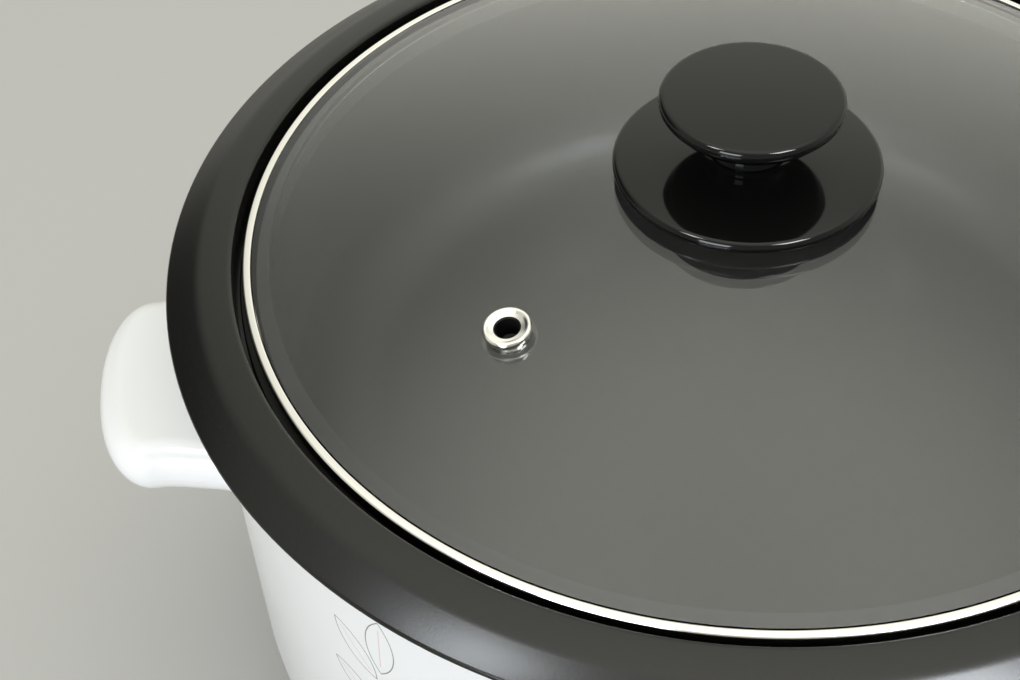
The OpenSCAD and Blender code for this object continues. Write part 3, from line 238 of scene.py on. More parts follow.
def lathe(outline, steps=180, place=None):
    """Spins an outline of corners (radius, height, rounding), in millimetres, about its axis."""
    shape = bmesh.new()
    ring = [shape.verts.new((radius * mm, 0, height * mm)) for radius, height, _ in outline]
    edges = [shape.edges.new((ring[i - 1], ring[i])) for i in range(len(ring))
             if outline[i - 1][0] > 0 or outline[i][0] > 0]
    bmesh.ops.spin(shape, geom=ring + edges, cent=(0, 0, 0), axis=(0, 0, 1), angle=2 * pi,
                   steps=steps, use_merge=True)
    bmesh.ops.remove_doubles(shape, verts=shape.verts, dist=1e-7)
    bmesh.ops.recalc_face_normals(shape, faces=shape.faces)
    count = len(outline)
    for i, (radius, height, rounding) in enumerate(outline):
        if rounding:
            here = Vector((radius, height))
            before = (Vector(outline[i - 1][:2]) - here).normalized()
            after = (Vector(outline[(i + 1) % count][:2]) - here).normalized()
            half = acos(max(-1, min(1, before.dot(after)))) / 2
            corner = [e for e in shape.edges
                      if all(abs(hypot(v.co.x, v.co.y) - radius * mm) < 1e-6
                             and abs(v.co.z - height * mm) < 1e-6 for v in e.verts)]
            segments = max(2, round(degrees(pi - 2 * half) / 9))
            bmesh.ops.bevel(shape, geom=corner, offset=rounding * mm / tan(half),
                            offset_type="OFFSET", segments=segments, profile=0.5,
                            affect="EDGES", material=-1, clamp_overlap=False)
    if place:
        bmesh.ops.transform(shape, matrix=place, verts=shape.verts)
    return shape


rubber = moulded_plastic("foot_rubber", (0.025, 0.025, 0.024), 0.7, grain=1400, bump=0.00004)
for foot_name in ("foot_front_left", "foot_front_right", "foot_rear_left", "foot_rear_right"):
    low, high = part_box(foot_name)
    middle = (low + high) / 2
    foot_r = (high.x - low.x) / 2 / mm
    foot_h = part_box("base_cover")[0].z / mm
    stem_r = foot_r * 0.4
    foot = lathe([(0, 0.4, 0), (foot_r - 3.2, 0.4, 0.3), (foot_r - 2.8, 0, 0.3),
                  (foot_r - 1, 0, 0.8), (foot_r, foot_h, 0.6), (stem_r, foot_h, 0),
                  (stem_r, foot_h + 2.6, 0.3), (0, foot_h + 2.6, 0)],
                 steps=64, place=Matrix.Translation((middle.x, middle.y, 0)))
    finish(foot_name.replace("foot", "rubber_foot"), foot, rubber, "housing", "rubber", foot_name)

# Base cover: dark moulded plastic with vent slots, screw pillars and foot sockets. It is the solid
# itself, with a grained finish.
base_plastic = moulded_plastic("base_plastic", (0.035, 0.035, 0.034), 0.5, grain=1100,
                               bump=0.00004)
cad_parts["base_cover"].data.materials.clear()
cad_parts["base_cover"].data.materials.append(base_plastic)

# Outer shell: injection-moulded in one piece, gloss white, with a long soft reflection down its
# side and a very faint ripple in the gloss. Its rear has an opening for the inlet.
white = (0.8, 0.805, 0.815)
white_gloss = moulded_plastic("white_gloss", white, 0.2, spread=0.05, grain=260, bump=0.000012,
                              coat=0.25)
shell_low, shell_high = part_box("outer_shell")
shell_r = shell_high.x / mm
shell_top = shell_high.z / mm
shell_bottom = shell_low.z / mm
shell_wall = 2.5
shell_corner = 22
cover_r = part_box("base_cover")[1].x / mm
shell = lathe([(cover_r + 0.3, shell_bottom, 0.3), (shell_r, shell_bottom, shell_corner),
               (shell_r, shell_top, 0.6), (shell_r - shell_wall, shell_top, 0.6),
               (shell_r - shell_wall, shell_bottom + shell_wall, shell_corner - shell_wall),
               (cover_r + 0.3, shell_bottom + shell_wall, 0)], steps=240)


def temporary(shape):
    """Object that holds a shape while a modifier works on it."""
    data = bpy.data.meshes.new("temporary")
    shape.to_mesh(data)
    shape.free()
    piece = bpy.data.objects.new("temporary", data)
    scene.collection.objects.link(piece)
    return piece


def carve(shape, *cutters):
    """Cuts solids out of a shape and gives what is left."""
    body = temporary(shape)
    knives = [temporary(cutter) for cutter in cutters]
    for knife in knives:
        cut = body.modifiers.new("cut", "BOOLEAN")
        cut.object = knife
        cut.solver = "EXACT"
    left = bmesh.new()
    left.from_object(body, bpy.context.evaluated_depsgraph_get())
    for piece in (body, *knives):
        bpy.data.objects.remove(piece)
    bmesh.ops.remove_doubles(left, verts=left.verts, dist=1e-6)
    return left


def rounded_block(size, middle, radius, segments=8):
    """Block whose upright edges are rounded."""
    shape = bmesh.new()
    bmesh.ops.create_cube(shape, size=1)
    bmesh.ops.scale(shape, vec=[length * mm for length in size], verts=shape.verts)
    bmesh.ops.translate(shape, vec=[place * mm for place in middle], verts=shape.verts)
    uprights = [e for e in shape.edges if abs(e.verts[0].co.z - e.verts[1].co.z) > mm]
    bmesh.ops.bevel(shape, geom=uprights, offset=radius * mm, offset_type="OFFSET",
                    segments=segments, profile=0.5, affect="EDGES", material=-1)
    return shape


def calculator(tree):
    """Function that adds a maths node to a node tree and gives its value."""
    def math(operation, *values):
        node = tree.nodes.new("ShaderNodeMath")
        node.operation = operation
        for socket, value in zip(node.inputs, values):
            if isinstance(value, (int, float)):
                socket.default_value = value
            else:
                tree.links.new(value, socket)
        return node.outputs["Value"]
    return math


def leaf_group():
    """Group that draws one leaf on a flat place: its thin outline, and the vein down its middle."""
    group = bpy.data.node_groups.new("leaf_outline", "ShaderNodeTree")
    for label, kind, value in (("Place", "NodeSocketVector", (0, 0, 0)),
                               ("Middle", "NodeSocketVector", (0, 0, 0)),
                               ("Turn", "NodeSocketFloat", 0), ("Size", "NodeSocketFloat", 1),
                               ("Line", "NodeSocketFloat", 0.012)):
        group.interface.new_socket(label, in_out="INPUT", socket_type=kind).default_value = value
    group.interface.new_socket("Outline", in_out="OUTPUT", socket_type="NodeSocketFloat")
    group.interface.new_socket("Vein", in_out="OUTPUT", socket_type="NodeSocketFloat")
    nodes, links = group.nodes, group.links
    entry, leave = nodes.new("NodeGroupInput"), nodes.new("NodeGroupOutput")
    math = calculator(group)

    shift = nodes.new("ShaderNodeVectorMath")
    shift.operation = "SUBTRACT"
    links.new(entry.outputs["Place"], shift.inputs[0])
    links.new(entry.outputs["Middle"], shift.inputs[1])
    turn = nodes.new("ShaderNodeVectorRotate")
    turn.rotation_type = "Z_AXIS"
    links.new(shift.outputs["Vector"], turn.inputs["Vector"])
    links.new(entry.outputs["Turn"], turn.inputs["Angle"])
    parts = nodes.new("ShaderNodeSeparateXYZ")
    links.new(turn.outputs["Vector"], parts.inputs[0])
    across = math("ABSOLUTE", math("DIVIDE", parts.outputs["X"], entry.outputs["Size"]))
    along = math("DIVIDE", parts.outputs["Y"], entry.outputs["Size"])
    half_width = 0.2
    arc_r = (0.25 + half_width ** 2) / (2 * half_width)
    centre = math("ADD", across, arc_r - half_width)
    reach = math("SQRT", math("ADD", math("MULTIPLY", centre, centre),
                              math("MULTIPLY", along, along)))
    line = math("DIVIDE", entry.outputs["Line"], entry.outputs["Size"])
    edge = math("ABSOLUTE", math("SUBTRACT", reach, arc_r))
    links.new(math("LESS_THAN", edge, line), leave.inputs["Outline"])
    short = math("LESS_THAN", math("ABSOLUTE", along), 0.36)
    vein = math("MULTIPLY", math("LESS_THAN", across, math("MULTIPLY", line, 0.8)), short)
    links.new(vein, leave.inputs["Vein"])
    return group


def printed_white():
    """The body's white with a fine line print: sprigs of leaves, in grey with rosy veins."""
    material = moulded_plastic("printed_white", white, 0.2, spread=0.05, grain=260, bump=0.000012,
                               coat=0.25)
    nodes, links = material.node_tree.nodes, material.node_tree.links
    parts = nodes.new("ShaderNodeSeparateXYZ")
    links.new(nodes.new("ShaderNodeTexCoord").outputs["Object"], parts.inputs[0])
    math = calculator(material.node_tree)

    azimuth = math("ARCTAN2", parts.outputs["Y"], parts.outputs["X"])
    spread = radians(360 / sprig_count)
    turn = math("WRAP", math("SUBTRACT", azimuth, radians(sprig_azimuth)), spread / 2, -spread / 2)
    flat = nodes.new("ShaderNodeCombineXYZ")
    links.new(math("MULTIPLY", turn, shell_r), flat.inputs["X"])
    links.new(math("SUBTRACT", math("DIVIDE", parts.outputs["Z"], mm), sprig_z), flat.inputs["Y"])
    outlines, veins = None, None
    for x, y, lean, size in sprig_leaves:
        leaf = nodes.new("ShaderNodeGroup")
        leaf.node_tree = leaf_outline
        leaf.inputs["Middle"].default_value = (x, y, 0)
        leaf.inputs["Turn"].default_value = radians(lean)
        leaf.inputs["Size"].default_value = size
        leaf.inputs["Line"].default_value = print_line
        links.new(flat.outputs["Vector"], leaf.inputs["Place"])
        outline, vein = leaf.outputs["Outline"], leaf.outputs["Vein"]
        outlines = math("MAXIMUM", outlines, outline) if outlines else outline
        veins = math("MAXIMUM", veins, vein) if veins else vein
    base = (*white, 1)
    for mask, ink in ((veins, (0.72, 0.47, 0.5, 1)), (outlines, (0.2, 0.2, 0.21, 1))):
        inked = nodes.new("ShaderNodeMix")
        inked.data_type = "RGBA"
        if isinstance(base, tuple):
            inked.inputs["A"].default_value = base
        else:
            links.new(base, inked.inputs["A"])
        inked.inputs["B"].default_value = ink
        links.new(mask, inked.inputs["Factor"])
        base = inked.outputs["Result"]
    links.new(base, nodes["Principled BSDF"].inputs["Base Color"])
    return material


leaf_outline = leaf_group()
sprig_count, sprig_azimuth, sprig_z, print_line = 5, -138, 96, 0.16
sprig_leaves = ((0, 16, 4, 22), (-9, 8, -42, 19), (10, 6, 38, 18), (-11, -9, -58, 17),
                (12, -12, 56, 16), (1, -14, 8, 24))
inlet_low, inlet_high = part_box("inlet_housing")
inlet_z = (inlet_low.z + inlet_high.z) / 2 / mm
inlet_opening = rounded_block((48.6, 30, 26.6), (0, shell_r, inlet_z), 0.1, segments=1)
finish("shell", carve(shell, inlet_opening), printed_white(), "housing", "shell_white", "outer_shell")


# Handles: two white lugs, rounded all the way over their edges and moulded hollow underneath for
# the fingertips. Their round ends are a little squarish, and their sides flare into the body.
def handle(name, side, node):
    low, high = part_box(node)
    reach = max(abs(low.x), abs(high.x)) / mm
    bottom, top = low.z / mm, high.z / mm
    half_width, end, power, flare, ease, root_r = 31.4, 15, 2.25, 0.26, 6, 10
    side_x = reach - end
    outline = [(side_x + end * cos(radians(a)) ** (2 / power),
                half_width * sin(radians(a)) ** (2 / power)) for a in range(0, 90, 3)]
    outline += [(side_x - run, half_width + flare * run * run / (2 * ease))
                for run in (0, 1.5, 3, 4.5, 6)]
    slant = hypot(1, flare)
    out_x = root_r * flare / slant
    top_y = half_width + flare * (side_x - ease / 2) + root_r / slant
    offset = out_x - top_y * flare
    rest = out_x ** 2 + top_y ** 2 - (shell_r + root_r) ** 2
    root_x = (sqrt(offset ** 2 - slant ** 2 * rest) - offset) / slant ** 2
    centre = Vector((root_x + out_x, top_y - flare * root_x))
    first, last = atan2(-1, -flare), atan2(-centre.y, -centre.x)
    outline += [(centre.x + root_r * cos(a), centre.y + root_r * sin(a))
                for a in (first + (last - first) * i / 8 for i in range(9))]
    root = shell_r - 20
    outline.append((root, outline[-1][1]))
    shape = bmesh.new()
    ring = [shape.verts.new((x * mm, y * mm, bottom * mm)) for x, y in outline]
    ring += [shape.verts.new((x * mm, -y * mm, bottom * mm)) for x, y in outline[:0:-1]]
    plan = shape.faces.new(ring)
    lifted = bmesh.ops.extrude_face_region(shape, geom=[plan])["geom"]
    bmesh.ops.translate(shape, vec=(0, 0, (top - bottom) * mm),
                        verts=[v for v in lifted if isinstance(v, bmesh.types.BMVert)])
    bmesh.ops.recalc_face_normals(shape, faces=shape.faces)
    rolled = [e for e in shape.edges if abs(e.verts[0].co.z - e.verts[1].co.z) < 1e-7
              and max(v.co.x for v in e.verts) > (root + 0.1) * mm]
    bmesh.ops.bevel(shape, geom=rolled, offset=(top - bottom) / 2 * 0.99 * mm, offset_type="OFFSET",
                    segments=10, profile=0.5, affect="EDGES", material=-1, clamp_overlap=False)
    bmesh.ops.remove_doubles(shape, verts=shape.verts, dist=0.05 * mm)
    body = lathe([(0, bottom - 5, 0), (shell_r - 0.1, bottom - 5, 0), (shell_r - 0.1, top + 5, 0),
                  (0, top + 5, 0)], steps=240)
    pocket_in, pocket_out, pocket_half, pocket_h = shell_r + 5, reach - 12.7, 18, 9
    pocket = rounded_block((pocket_out - pocket_in, 2 * pocket_half, 2 * pocket_h),
                           ((pocket_in + pocket_out) / 2, 0, bottom), 6)
    shape = carve(shape, body, pocket)
    lip = [e for e in shape.edges if all(abs(v.co.z - bottom * mm) < 1e-6 for v in e.verts)
           and any(abs(f.normal.z) < 0.3 for f in e.link_faces)]
    bmesh.ops.bevel(shape, geom=lip, offset=0.8 * mm, offset_type="OFFSET", segments=3,
                    profile=0.5, affect="EDGES", material=-1)
    if side < 0:
        bmesh.ops.scale(shape, vec=(-1, 1, 1), verts=shape.verts)
    bmesh.ops.recalc_face_normals(shape, faces=shape.faces)
    return finish(name, shape, white_gloss, "housing", "shell_white", node, sharp=40)


handle("left_lug", -1, "handle_left")
handle("right_lug", 1, "handle_right")


# Collar: charcoal plastic with a fine metallic fleck. Its top is nearly flat by the mouth and
# rolls over into a steeper outer band; it sits over the shell's upper edge.
def flecked_charcoal():
    material, tree, shader = new_material("flecked_charcoal")
    nodes, links = tree.nodes, tree.links
    place = nodes.new("ShaderNodeTexCoord")
    flakes = nodes.new("ShaderNodeTexVoronoi")
    flakes.inputs["Scale"].default_value = 3000
    links.new(place.outputs["Object"], flakes.inputs["Vector"])
    pick = nodes.new("ShaderNodeSeparateColor")
    links.new(flakes.outputs["Color"], pick.inputs["Color"])
    sparse = nodes.new("ShaderNodeMapRange")
    sparse.inputs["From Min"].default_value = 0.86
    sparse.inputs["From Max"].default_value = 1.0
    links.new(pick.outputs["Red"], sparse.inputs["Value"])
    tint = nodes.new("ShaderNodeMix")
    tint.data_type = "RGBA"
    tint.inputs["A"].default_value = (0.0035, 0.0034, 0.0031, 1)
    tint.inputs["B"].default_value = (0.0085, 0.0082, 0.0075, 1)
    links.new(sparse.outputs["Result"], tint.inputs["Factor"])
    links.new(tint.outputs["Result"], shader.inputs["Base Color"])
    surface = nodes.new("ShaderNodeGroup")
    surface.node_tree = moulded_grain
    surface.inputs["Grain Size"].default_value = 1700
    gloss = nodes.new("ShaderNodeMapRange")
    gloss.inputs["To Min"].default_value = 0.22
    gloss.inputs["To Max"].default_value = 0.27
    shader.inputs["Specular IOR Level"].default_value = 0.42
    links.new(surface.outputs["Patches"], gloss.inputs["Value"])
    links.new(gloss.outputs["Result"], shader.inputs["Roughness"])
    relief = nodes.new("ShaderNodeBump")
    relief.inputs["Distance"].default_value = 0.00001
    links.new(surface.outputs["Height"], relief.inputs["Height"])
    links.new(relief.outputs["Normal"], shader.inputs["Normal"])
    return material


charcoal = flecked_charcoal()
collar_low, collar_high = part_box("top_collar")
collar_r = collar_high.x / mm
lip_z = collar_high.z / mm
pot_flange_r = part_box("inner_pot")[1].x / mm
collar_mouth_r = pot_flange_r + 1
ledge_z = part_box("inner_liner")[1].z / mm - 0.8
edge_z, skirt_z = lip_z - 5.3, lip_z - 14
corner_r = collar_mouth_r + 18
foot_in_r, foot_r, wall = shell_r + 0.3, shell_r + 1.8, 2.5
slope = (edge_z - skirt_z) / (corner_r - foot_r)


def inside_z(radius):
    """Height of the inside of the collar's sloping underside."""
    return skirt_z + slope * (radius - foot_r) + wall * hypot(1, slope)


collar = lathe([(collar_mouth_r, ledge_z, 0), (collar_mouth_r, lip_z, 1.2),
                (collar_mouth_r + 8.8, lip_z - 0.8, 8), (corner_r, edge_z, 1),
                (foot_r, skirt_z, 0.6), (foot_in_r, skirt_z, 0), (foot_in_r, inside_z(foot_in_r), 0),
                (corner_r - 4, inside_z(corner_r - 4), 0), (collar_mouth_r + wall, lip_z - wall - 0.7, 0),
                (collar_mouth_r + wall, ledge_z - wall, 0), (128.1, ledge_z - wall, 0),
                (128.1, ledge_z, 0)], steps=240)
finish("collar", collar, charcoal, "housing", "collar_charcoal", "top_collar")


# Liner: a cup of bright galvanised sheet that hangs in the collar's mouth and keeps the heat off
# the shell. It shows when the pot is lifted out.
def worn_metal(name, color, roughness, streaks, bump=0.00002):
    """Bare metal with faint streaks and stains in its gloss."""
    material, tree, shader = new_material(name)
    shader.inputs["Base Color"].default_value = (*color, 1)
    shader.inputs["Metallic"].default_value = 1.0
    nodes, links = tree.nodes, tree.links
    place = nodes.new("ShaderNodeTexCoord")
    stretch = nodes.new("ShaderNodeMapping")
    stretch.inputs["Scale"].default_value = streaks
    links.new(place.outputs["Object"], stretch.inputs["Vector"])
    marks = nodes.new("ShaderNodeTexNoise")
    marks.inputs["Scale"].default_value = 60
    marks.inputs["Detail"].default_value = 5
    links.new(stretch.outputs["Vector"], marks.inputs["Vector"])
    gloss = nodes.new("ShaderNodeMapRange")
    gloss.inputs["To Min"].default_value = roughness * 0.6
    gloss.inputs["To Max"].default_value = roughness * 1.4
    links.new(marks.outputs["Fac"], gloss.inputs["Value"])
    links.new(gloss.outputs["Result"], shader.inputs["Roughness"])
    relief = nodes.new("ShaderNodeBump")
    relief.inputs["Distance"].default_value = bump
    links.new(marks.outputs["Fac"], relief.inputs["Height"])
    links.new(relief.outputs["Normal"], shader.inputs["Normal"])
    return material


galvanised = worn_metal("galvanised_sheet", (0.62, 0.63, 0.65), 0.38, (1, 1, 1))
liner_low, liner_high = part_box("inner_liner")
liner_rim = liner_high.z / mm
liner_floor = liner_low.z / mm
liner_t = 0.8
liner_r = 127.8
liner = lathe([(8.2, liner_floor, 0), (liner_r, liner_floor, 22), (liner_r, ledge_z, 0),
               (pot_flange_r - 0.3, ledge_z, 0), (pot_flange_r - 0.3, liner_rim, 0),
               (liner_r - liner_t, liner_rim, 0.6), (liner_r - liner_t, liner_floor + liner_t, 21.2),
               (8.2, liner_floor + liner_t, 0)], steps=180)
finish("heat_shield", liner, galvanised, "housing", "liner_steel", "inner_liner")


# Heating plate: cast aluminium with a lathe-turned face, the fine turned rings catching the light.
def turned_aluminium():
    material, tree, shader = new_material("turned_aluminium")
    nodes, links = tree.nodes, tree.links
    shader.inputs["Base Color"].default_value = (0.66, 0.66, 0.65, 1)
    shader.inputs["Metallic"].default_value = 1.0
    shader.inputs["Roughness"].default_value = 0.34
    place = nodes.new("ShaderNodeTexCoord")
    rings = nodes.new("ShaderNodeTexWave")
    rings.wave_type = "RINGS"
    rings.rings_direction = "Z"
    rings.inputs["Scale"].default_value = 320
    rings.inputs["Distortion"].default_value = 0.4
    links.new(place.outputs["Object"], rings.inputs["Vector"])
    relief = nodes.new("ShaderNodeBump")
    relief.inputs["Distance"].default_value = 0.00003
    links.new(rings.outputs["Fac"], relief.inputs["Height"])
    links.new(relief.outputs["Normal"], shader.inputs["Normal"])
    return material


def coat(material, *names):
    """Gives CAD nodes whose own shape is right a better finish."""
    for node_name in names:
        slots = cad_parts[node_name].data.materials
        slots.clear()
        slots.append(material)


turned = turned_aluminium()
coat(turned, "heating_plate")
coat(galvanised, "control_bracket", "inlet_bracket")

# Small steel parts: zinc-plated screws, posts, clips and the sensor's stem.
zinc = worn_metal("zinc_plate", (0.6, 0.6, 0.62), 0.3, (1, 1, 1))
coat(zinc, "handle_screws", "collar_screws", "base_screws", "tie_screws", "plate_posts",
     "sensor_stem", "sensor_clip", "guide_screws", "fuse_clip", "panel_screws", "inlet_screws")

# Heater: a sheathed tube, blued by heat, pressed into the plate's groove.
sheath = worn_metal("heater_sheath", (0.3, 0.28, 0.27), 0.5, (1, 1, 1))
coat(sheath, "heater_tube")

# Sensor: a drawn aluminium cap on a steel stem, pushed up by a spring round a ceramic guide.
ceramic = moulded_plastic("glazed_ceramic", (0.75, 0.73, 0.66), 0.35)
coat(ceramic, "sensor_guide", "thermal_fuse")
cap_low, cap_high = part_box("sensor_cap")
cap_r = cap_high.x / mm
cap_top, cap_bottom = cap_high.z / mm, cap_low.z / mm
cap = lathe([(0, cap_top - 1.2, 0), (cap_r - 1.2, cap_top - 1.2, 1), (cap_r - 1.2, cap_bottom, 0),
             (cap_r, cap_bottom, 0.3), (cap_r, cap_top, 2), (0, cap_top, 0)], steps=96)
finish("sensor_button", cap, turned, "sensor", "cast_aluminium", "sensor_cap")

spring_low, spring_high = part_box("sensor_spring")
spring_turns = 6
wire_r = 0.7 * mm
spring_r = spring_high.x - wire_r
spring_curve = bpy.data.curves.new("spring_path", "CURVE")
spring_curve.dimensions = "3D"
spring_curve.bevel_depth = wire_r
spring_curve.bevel_resolution = 3
spring_curve.use_fill_caps = True
coil = spring_curve.splines.new("POLY")
coil_steps = spring_turns * 32
coil.points.add(coil_steps)
for i, point in enumerate(coil.points):
    turn = 2 * pi * spring_turns * i / coil_steps
    rise = spring_low.z + wire_r + (spring_high.z - spring_low.z - 2 * wire_r) * i / coil_steps
    point.co = (spring_r * cos(turn), spring_r * sin(turn), rise, 1)
spring_path = bpy.data.objects.new("spring_path", spring_curve)
scene.collection.objects.link(spring_path)
spring_shape = bmesh.new()
spring_shape.from_mesh(spring_path.to_mesh())
bpy.data.objects.remove(spring_path)
bmesh.ops.remove_doubles(spring_shape, verts=spring_shape.verts, dist=1e-7)
bmesh.ops.recalc_face_normals(spring_shape, faces=spring_shape.faces)
spring = finish("sensor_coil", spring_shape, zinc, None, "screw_steel", "sensor_spring", sharp=70)
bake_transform(spring)

# Wiring: silicone-sleeved wires in the base, brown for live, blue for neutral, green for earth.
coat(moulded_plastic("brown_sleeve", (0.16, 0.06, 0.03), 0.45), "live_wires")
coat(moulded_plastic("blue_sleeve", (0.03, 0.1, 0.4), 0.45), "neutral_wires")
coat(moulded_plastic("green_sleeve", (0.2, 0.35, 0.04), 0.45), "earth_wire")

# Thermostat: brown phenolic case with a brass bush, nut and shaft.
brass = worn_metal("rolled_brass", (0.72, 0.55, 0.27), 0.3, (1, 1, 1))
coat(moulded_plastic("brown_phenolic", (0.1, 0.045, 0.025), 0.4), "thermostat")
coat(brass, "knob_shaft", "thermostat_nut", "earth_contact")

# Control panel: a white moulded fascia that stands off the curve of the body.
panel_low, panel_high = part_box("control_panel")
panel = bmesh.new()
bmesh.ops.create_cube(panel, size=1)
panel_back = -(shell_r - 20) * mm
bmesh.ops.scale(panel, vec=(panel_high.x - panel_low.x, panel_back - panel_low.y,
                            panel_high.z - panel_low.z), verts=panel.verts)
bmesh.ops.translate(panel, vec=(0, (panel_back + panel_low.y) / 2,
                                (panel_low.z + panel_high.z) / 2), verts=panel.verts)
panel_corners = [e for e in panel.edges if abs(e.verts[0].co.y - e.verts[1].co.y) > 1e-6]
bmesh.ops.bevel(panel, geom=panel_corners, offset=12 * mm, offset_type="OFFSET", segments=10,
                profile=0.5, affect="EDGES", material=-1)
panel_brow = [e for e in panel.edges if all(abs(v.co.y - panel_low.y) < 1e-7 for v in e.verts)]
bmesh.ops.bevel(panel, geom=panel_brow, offset=1.6 * mm, offset_type="OFFSET", segments=5,
                profile=0.5, affect="EDGES", material=-1)
body = lathe([(0, shell_bottom, 0), (shell_r - 0.1, shell_bottom, shell_corner),
              (shell_r - 0.1, shell_top, 0), (0, shell_top, 0)], steps=240)
finish("fascia", carve(panel, body), white_gloss, "housing", "shell_white", "control_panel")

# Temperature knob: a black moulded knob with a grip bar across it and a white pointer line.
black_gloss = moulded_plastic("black_gloss", (0.004, 0.004, 0.004), 0.07, spread=0.02, grain=500,
                              bump=0.000001, shine=0.3)
knob_low, knob_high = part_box("temperature_knob")
dial_r = (knob_high.x - knob_low.x) / 2 / mm
dial_z = (knob_high.z + knob_low.z) / 2
dial_h = (knob_high.y - knob_low.y) / mm
upright = Matrix.Translation((0, knob_high.y, dial_z)) @ Matrix.Rotation(radians(90), 4, "X")
knob = lathe([(0, 0, 0), (dial_r, 0, 0.5), (dial_r, 2, 0.6), (dial_r - 2, 2.6, 0.4),
              (dial_r - 3, 0.62 * dial_h, 1.4), (0, 0.62 * dial_h, 0)], steps=120)
bar = bmesh.new()
bmesh.ops.create_cube(bar, size=1)
bmesh.ops.scale(bar, vec=(8 * mm, (2 * dial_r - 6) * mm, 0.8 * dial_h * mm), verts=bar.verts)
bmesh.ops.translate(bar, vec=(0, 0, 0.6 * dial_h * mm), verts=bar.verts)
bar_sides = [e for e in bar.edges if abs(e.verts[0].co.z - e.verts[1].co.z) > 1e-6]
bmesh.ops.bevel(bar, geom=bar_sides, offset=3.2 * mm, offset_type="OFFSET", segments=6,
                profile=0.5, affect="EDGES", material=-1)
bar_top = [e for e in bar.edges if all(abs(v.co.z - dial_h * mm) < 1e-6 for v in e.verts)]
bmesh.ops.bevel(bar, geom=bar_top, offset=1.2 * mm, offset_type="OFFSET", segments=4,
                profile=0.5, affect="EDGES", material=-1)
bar_data = bpy.data.meshes.new("bar")
bar.to_mesh(bar_data)
bar.free()
knob.from_mesh(bar_data)
bmesh.ops.transform(knob, matrix=upright, verts=knob.verts)
finish("dial", knob, black_gloss, "dial", "black_plastic", "temperature_knob")


# Printing: heat marks round the knob, every 45 degrees from OFF, and a white line on the knob.
grey_ink = moulded_plastic("grey_ink", (0.05, 0.05, 0.055), 0.5, spread=0.05, bump=0.000002)
white_ink = moulded_plastic("white_ink", (0.75, 0.75, 0.74), 0.5, spread=0.05, bump=0.000002)
marks = bmesh.new()
mark_ring = dial_r + 3.6
for step, caption in enumerate(("OFF", "1", "2", "3", "4", "5", "6")):
    letters = bpy.data.curves.new("letters", "FONT")
    letters.body = caption
    letters.size = 3.6 * mm
    letters.extrude = 0.04 * mm
    letters.align_x, letters.align_y = "CENTER", "CENTER"
    holder = bpy.data.objects.new("letters", letters)
    scene.collection.objects.link(holder)
    printed = holder.to_mesh()
    turn = radians(45 * step)
    place = (mark_ring * sin(turn) * mm, panel_low.y - 0.03 * mm,
             dial_z + mark_ring * cos(turn) * mm)
    printed.transform(Matrix.Translation(place) @ Matrix.Rotation(radians(90), 4, "X"))
    marks.from_mesh(printed)
    bpy.data.objects.remove(holder)
bmesh.ops.remove_doubles(marks, verts=marks.verts, dist=1e-7)
finish("heat_marks", marks, grey_ink, "housing", "black_plastic")
pointer = rounded_block((1.2, 7, 0.3), (0, dial_r - 7.5, dial_h - 0.1), 0.5, segments=4)
bmesh.ops.transform(pointer, matrix=upright, verts=pointer.verts)
finish("pointer_line", pointer, white_ink, "dial", "shell_white")

# Pilot lamp lenses: clear-tinted domes in the fascia.
for lens_name, node_name, slot_name, tint in (
        ("power_lens", "lamp_lens_power", "lens_red", (0.5, 0.02, 0.015)),
        ("heat_lens", "lamp_lens_heat", "lens_amber", (0.7, 0.25, 0.02))):
    low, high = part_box(node_name)
    lens_turn = (Matrix.Translation(((low.x + high.x) / 2, panel_low.y, (low.z + high.z) / 2))
                 @ Matrix.Rotation(radians(90), 4, "X"))
    lens = lathe([(0, -9, 0), (2.4, -9, 0), (2.4, -2, 0), (3.2, -2, 0), (3.2, 1.6, 1.2),
                  (0, 1.6, 0)], steps=48, place=lens_turn)
    lens_finish = moulded_plastic(lens_name + "_tint", tint, 0.08, spread=0.02, coat=0.5)
    finish(lens_name, lens, lens_finish, "housing", slot_name, node_name)
coat(moulded_plastic("lamp_glass", (0.7, 0.66, 0.6), 0.1, spread=0.02), "pilot_lamps")

# Inlet: a dark moulded socket at the rear with two nickel-plated pins.
inlet = bmesh.new()
bmesh.ops.create_cube(inlet, size=1)
inlet_back = inlet_high.y - 25 * mm
bmesh.ops.scale(inlet, vec=(inlet_high.x - inlet_low.x, inlet_high.y - inlet_back,
                            inlet_high.z - inlet_low.z), verts=inlet.verts)
bmesh.ops.translate(inlet, vec=(0, (inlet_high.y + inlet_back) / 2,
                                (inlet_low.z + inlet_high.z) / 2), verts=inlet.verts)
inlet_corners = [e for e in inlet.edges if abs(e.verts[0].co.y - e.verts[1].co.y) > 1e-6]
bmesh.ops.bevel(inlet, geom=inlet_corners, offset=6 * mm, offset_type="OFFSET", segments=8,
                profile=0.5, affect="EDGES", material=-1)
mouth = max(inlet.faces, key=lambda f: f.calc_center_median().y)
bmesh.ops.inset_region(inlet, faces=[mouth], thickness=6.4 * mm)
bmesh.ops.translate(inlet, vec=(0, -22 * mm, 0), verts=mouth.verts)
inlet_brow = [e for e in inlet.edges if all(abs(v.co.y - inlet_high.y) < 1e-7 for v in e.verts)]
bmesh.ops.bevel(inlet, geom=inlet_brow, offset=0.8 * mm, offset_type="OFFSET", segments=3,
                profile=0.5, affect="EDGES", material=-1)
finish("inlet_frame", inlet, base_plastic, "housing", "base_plastic", "inlet_housing")
bright = worn_metal("polished_steel", (0.86, 0.845, 0.8), 0.1, (1, 1, 1), bump=0.000002)
coat(bright, "inlet_pins")


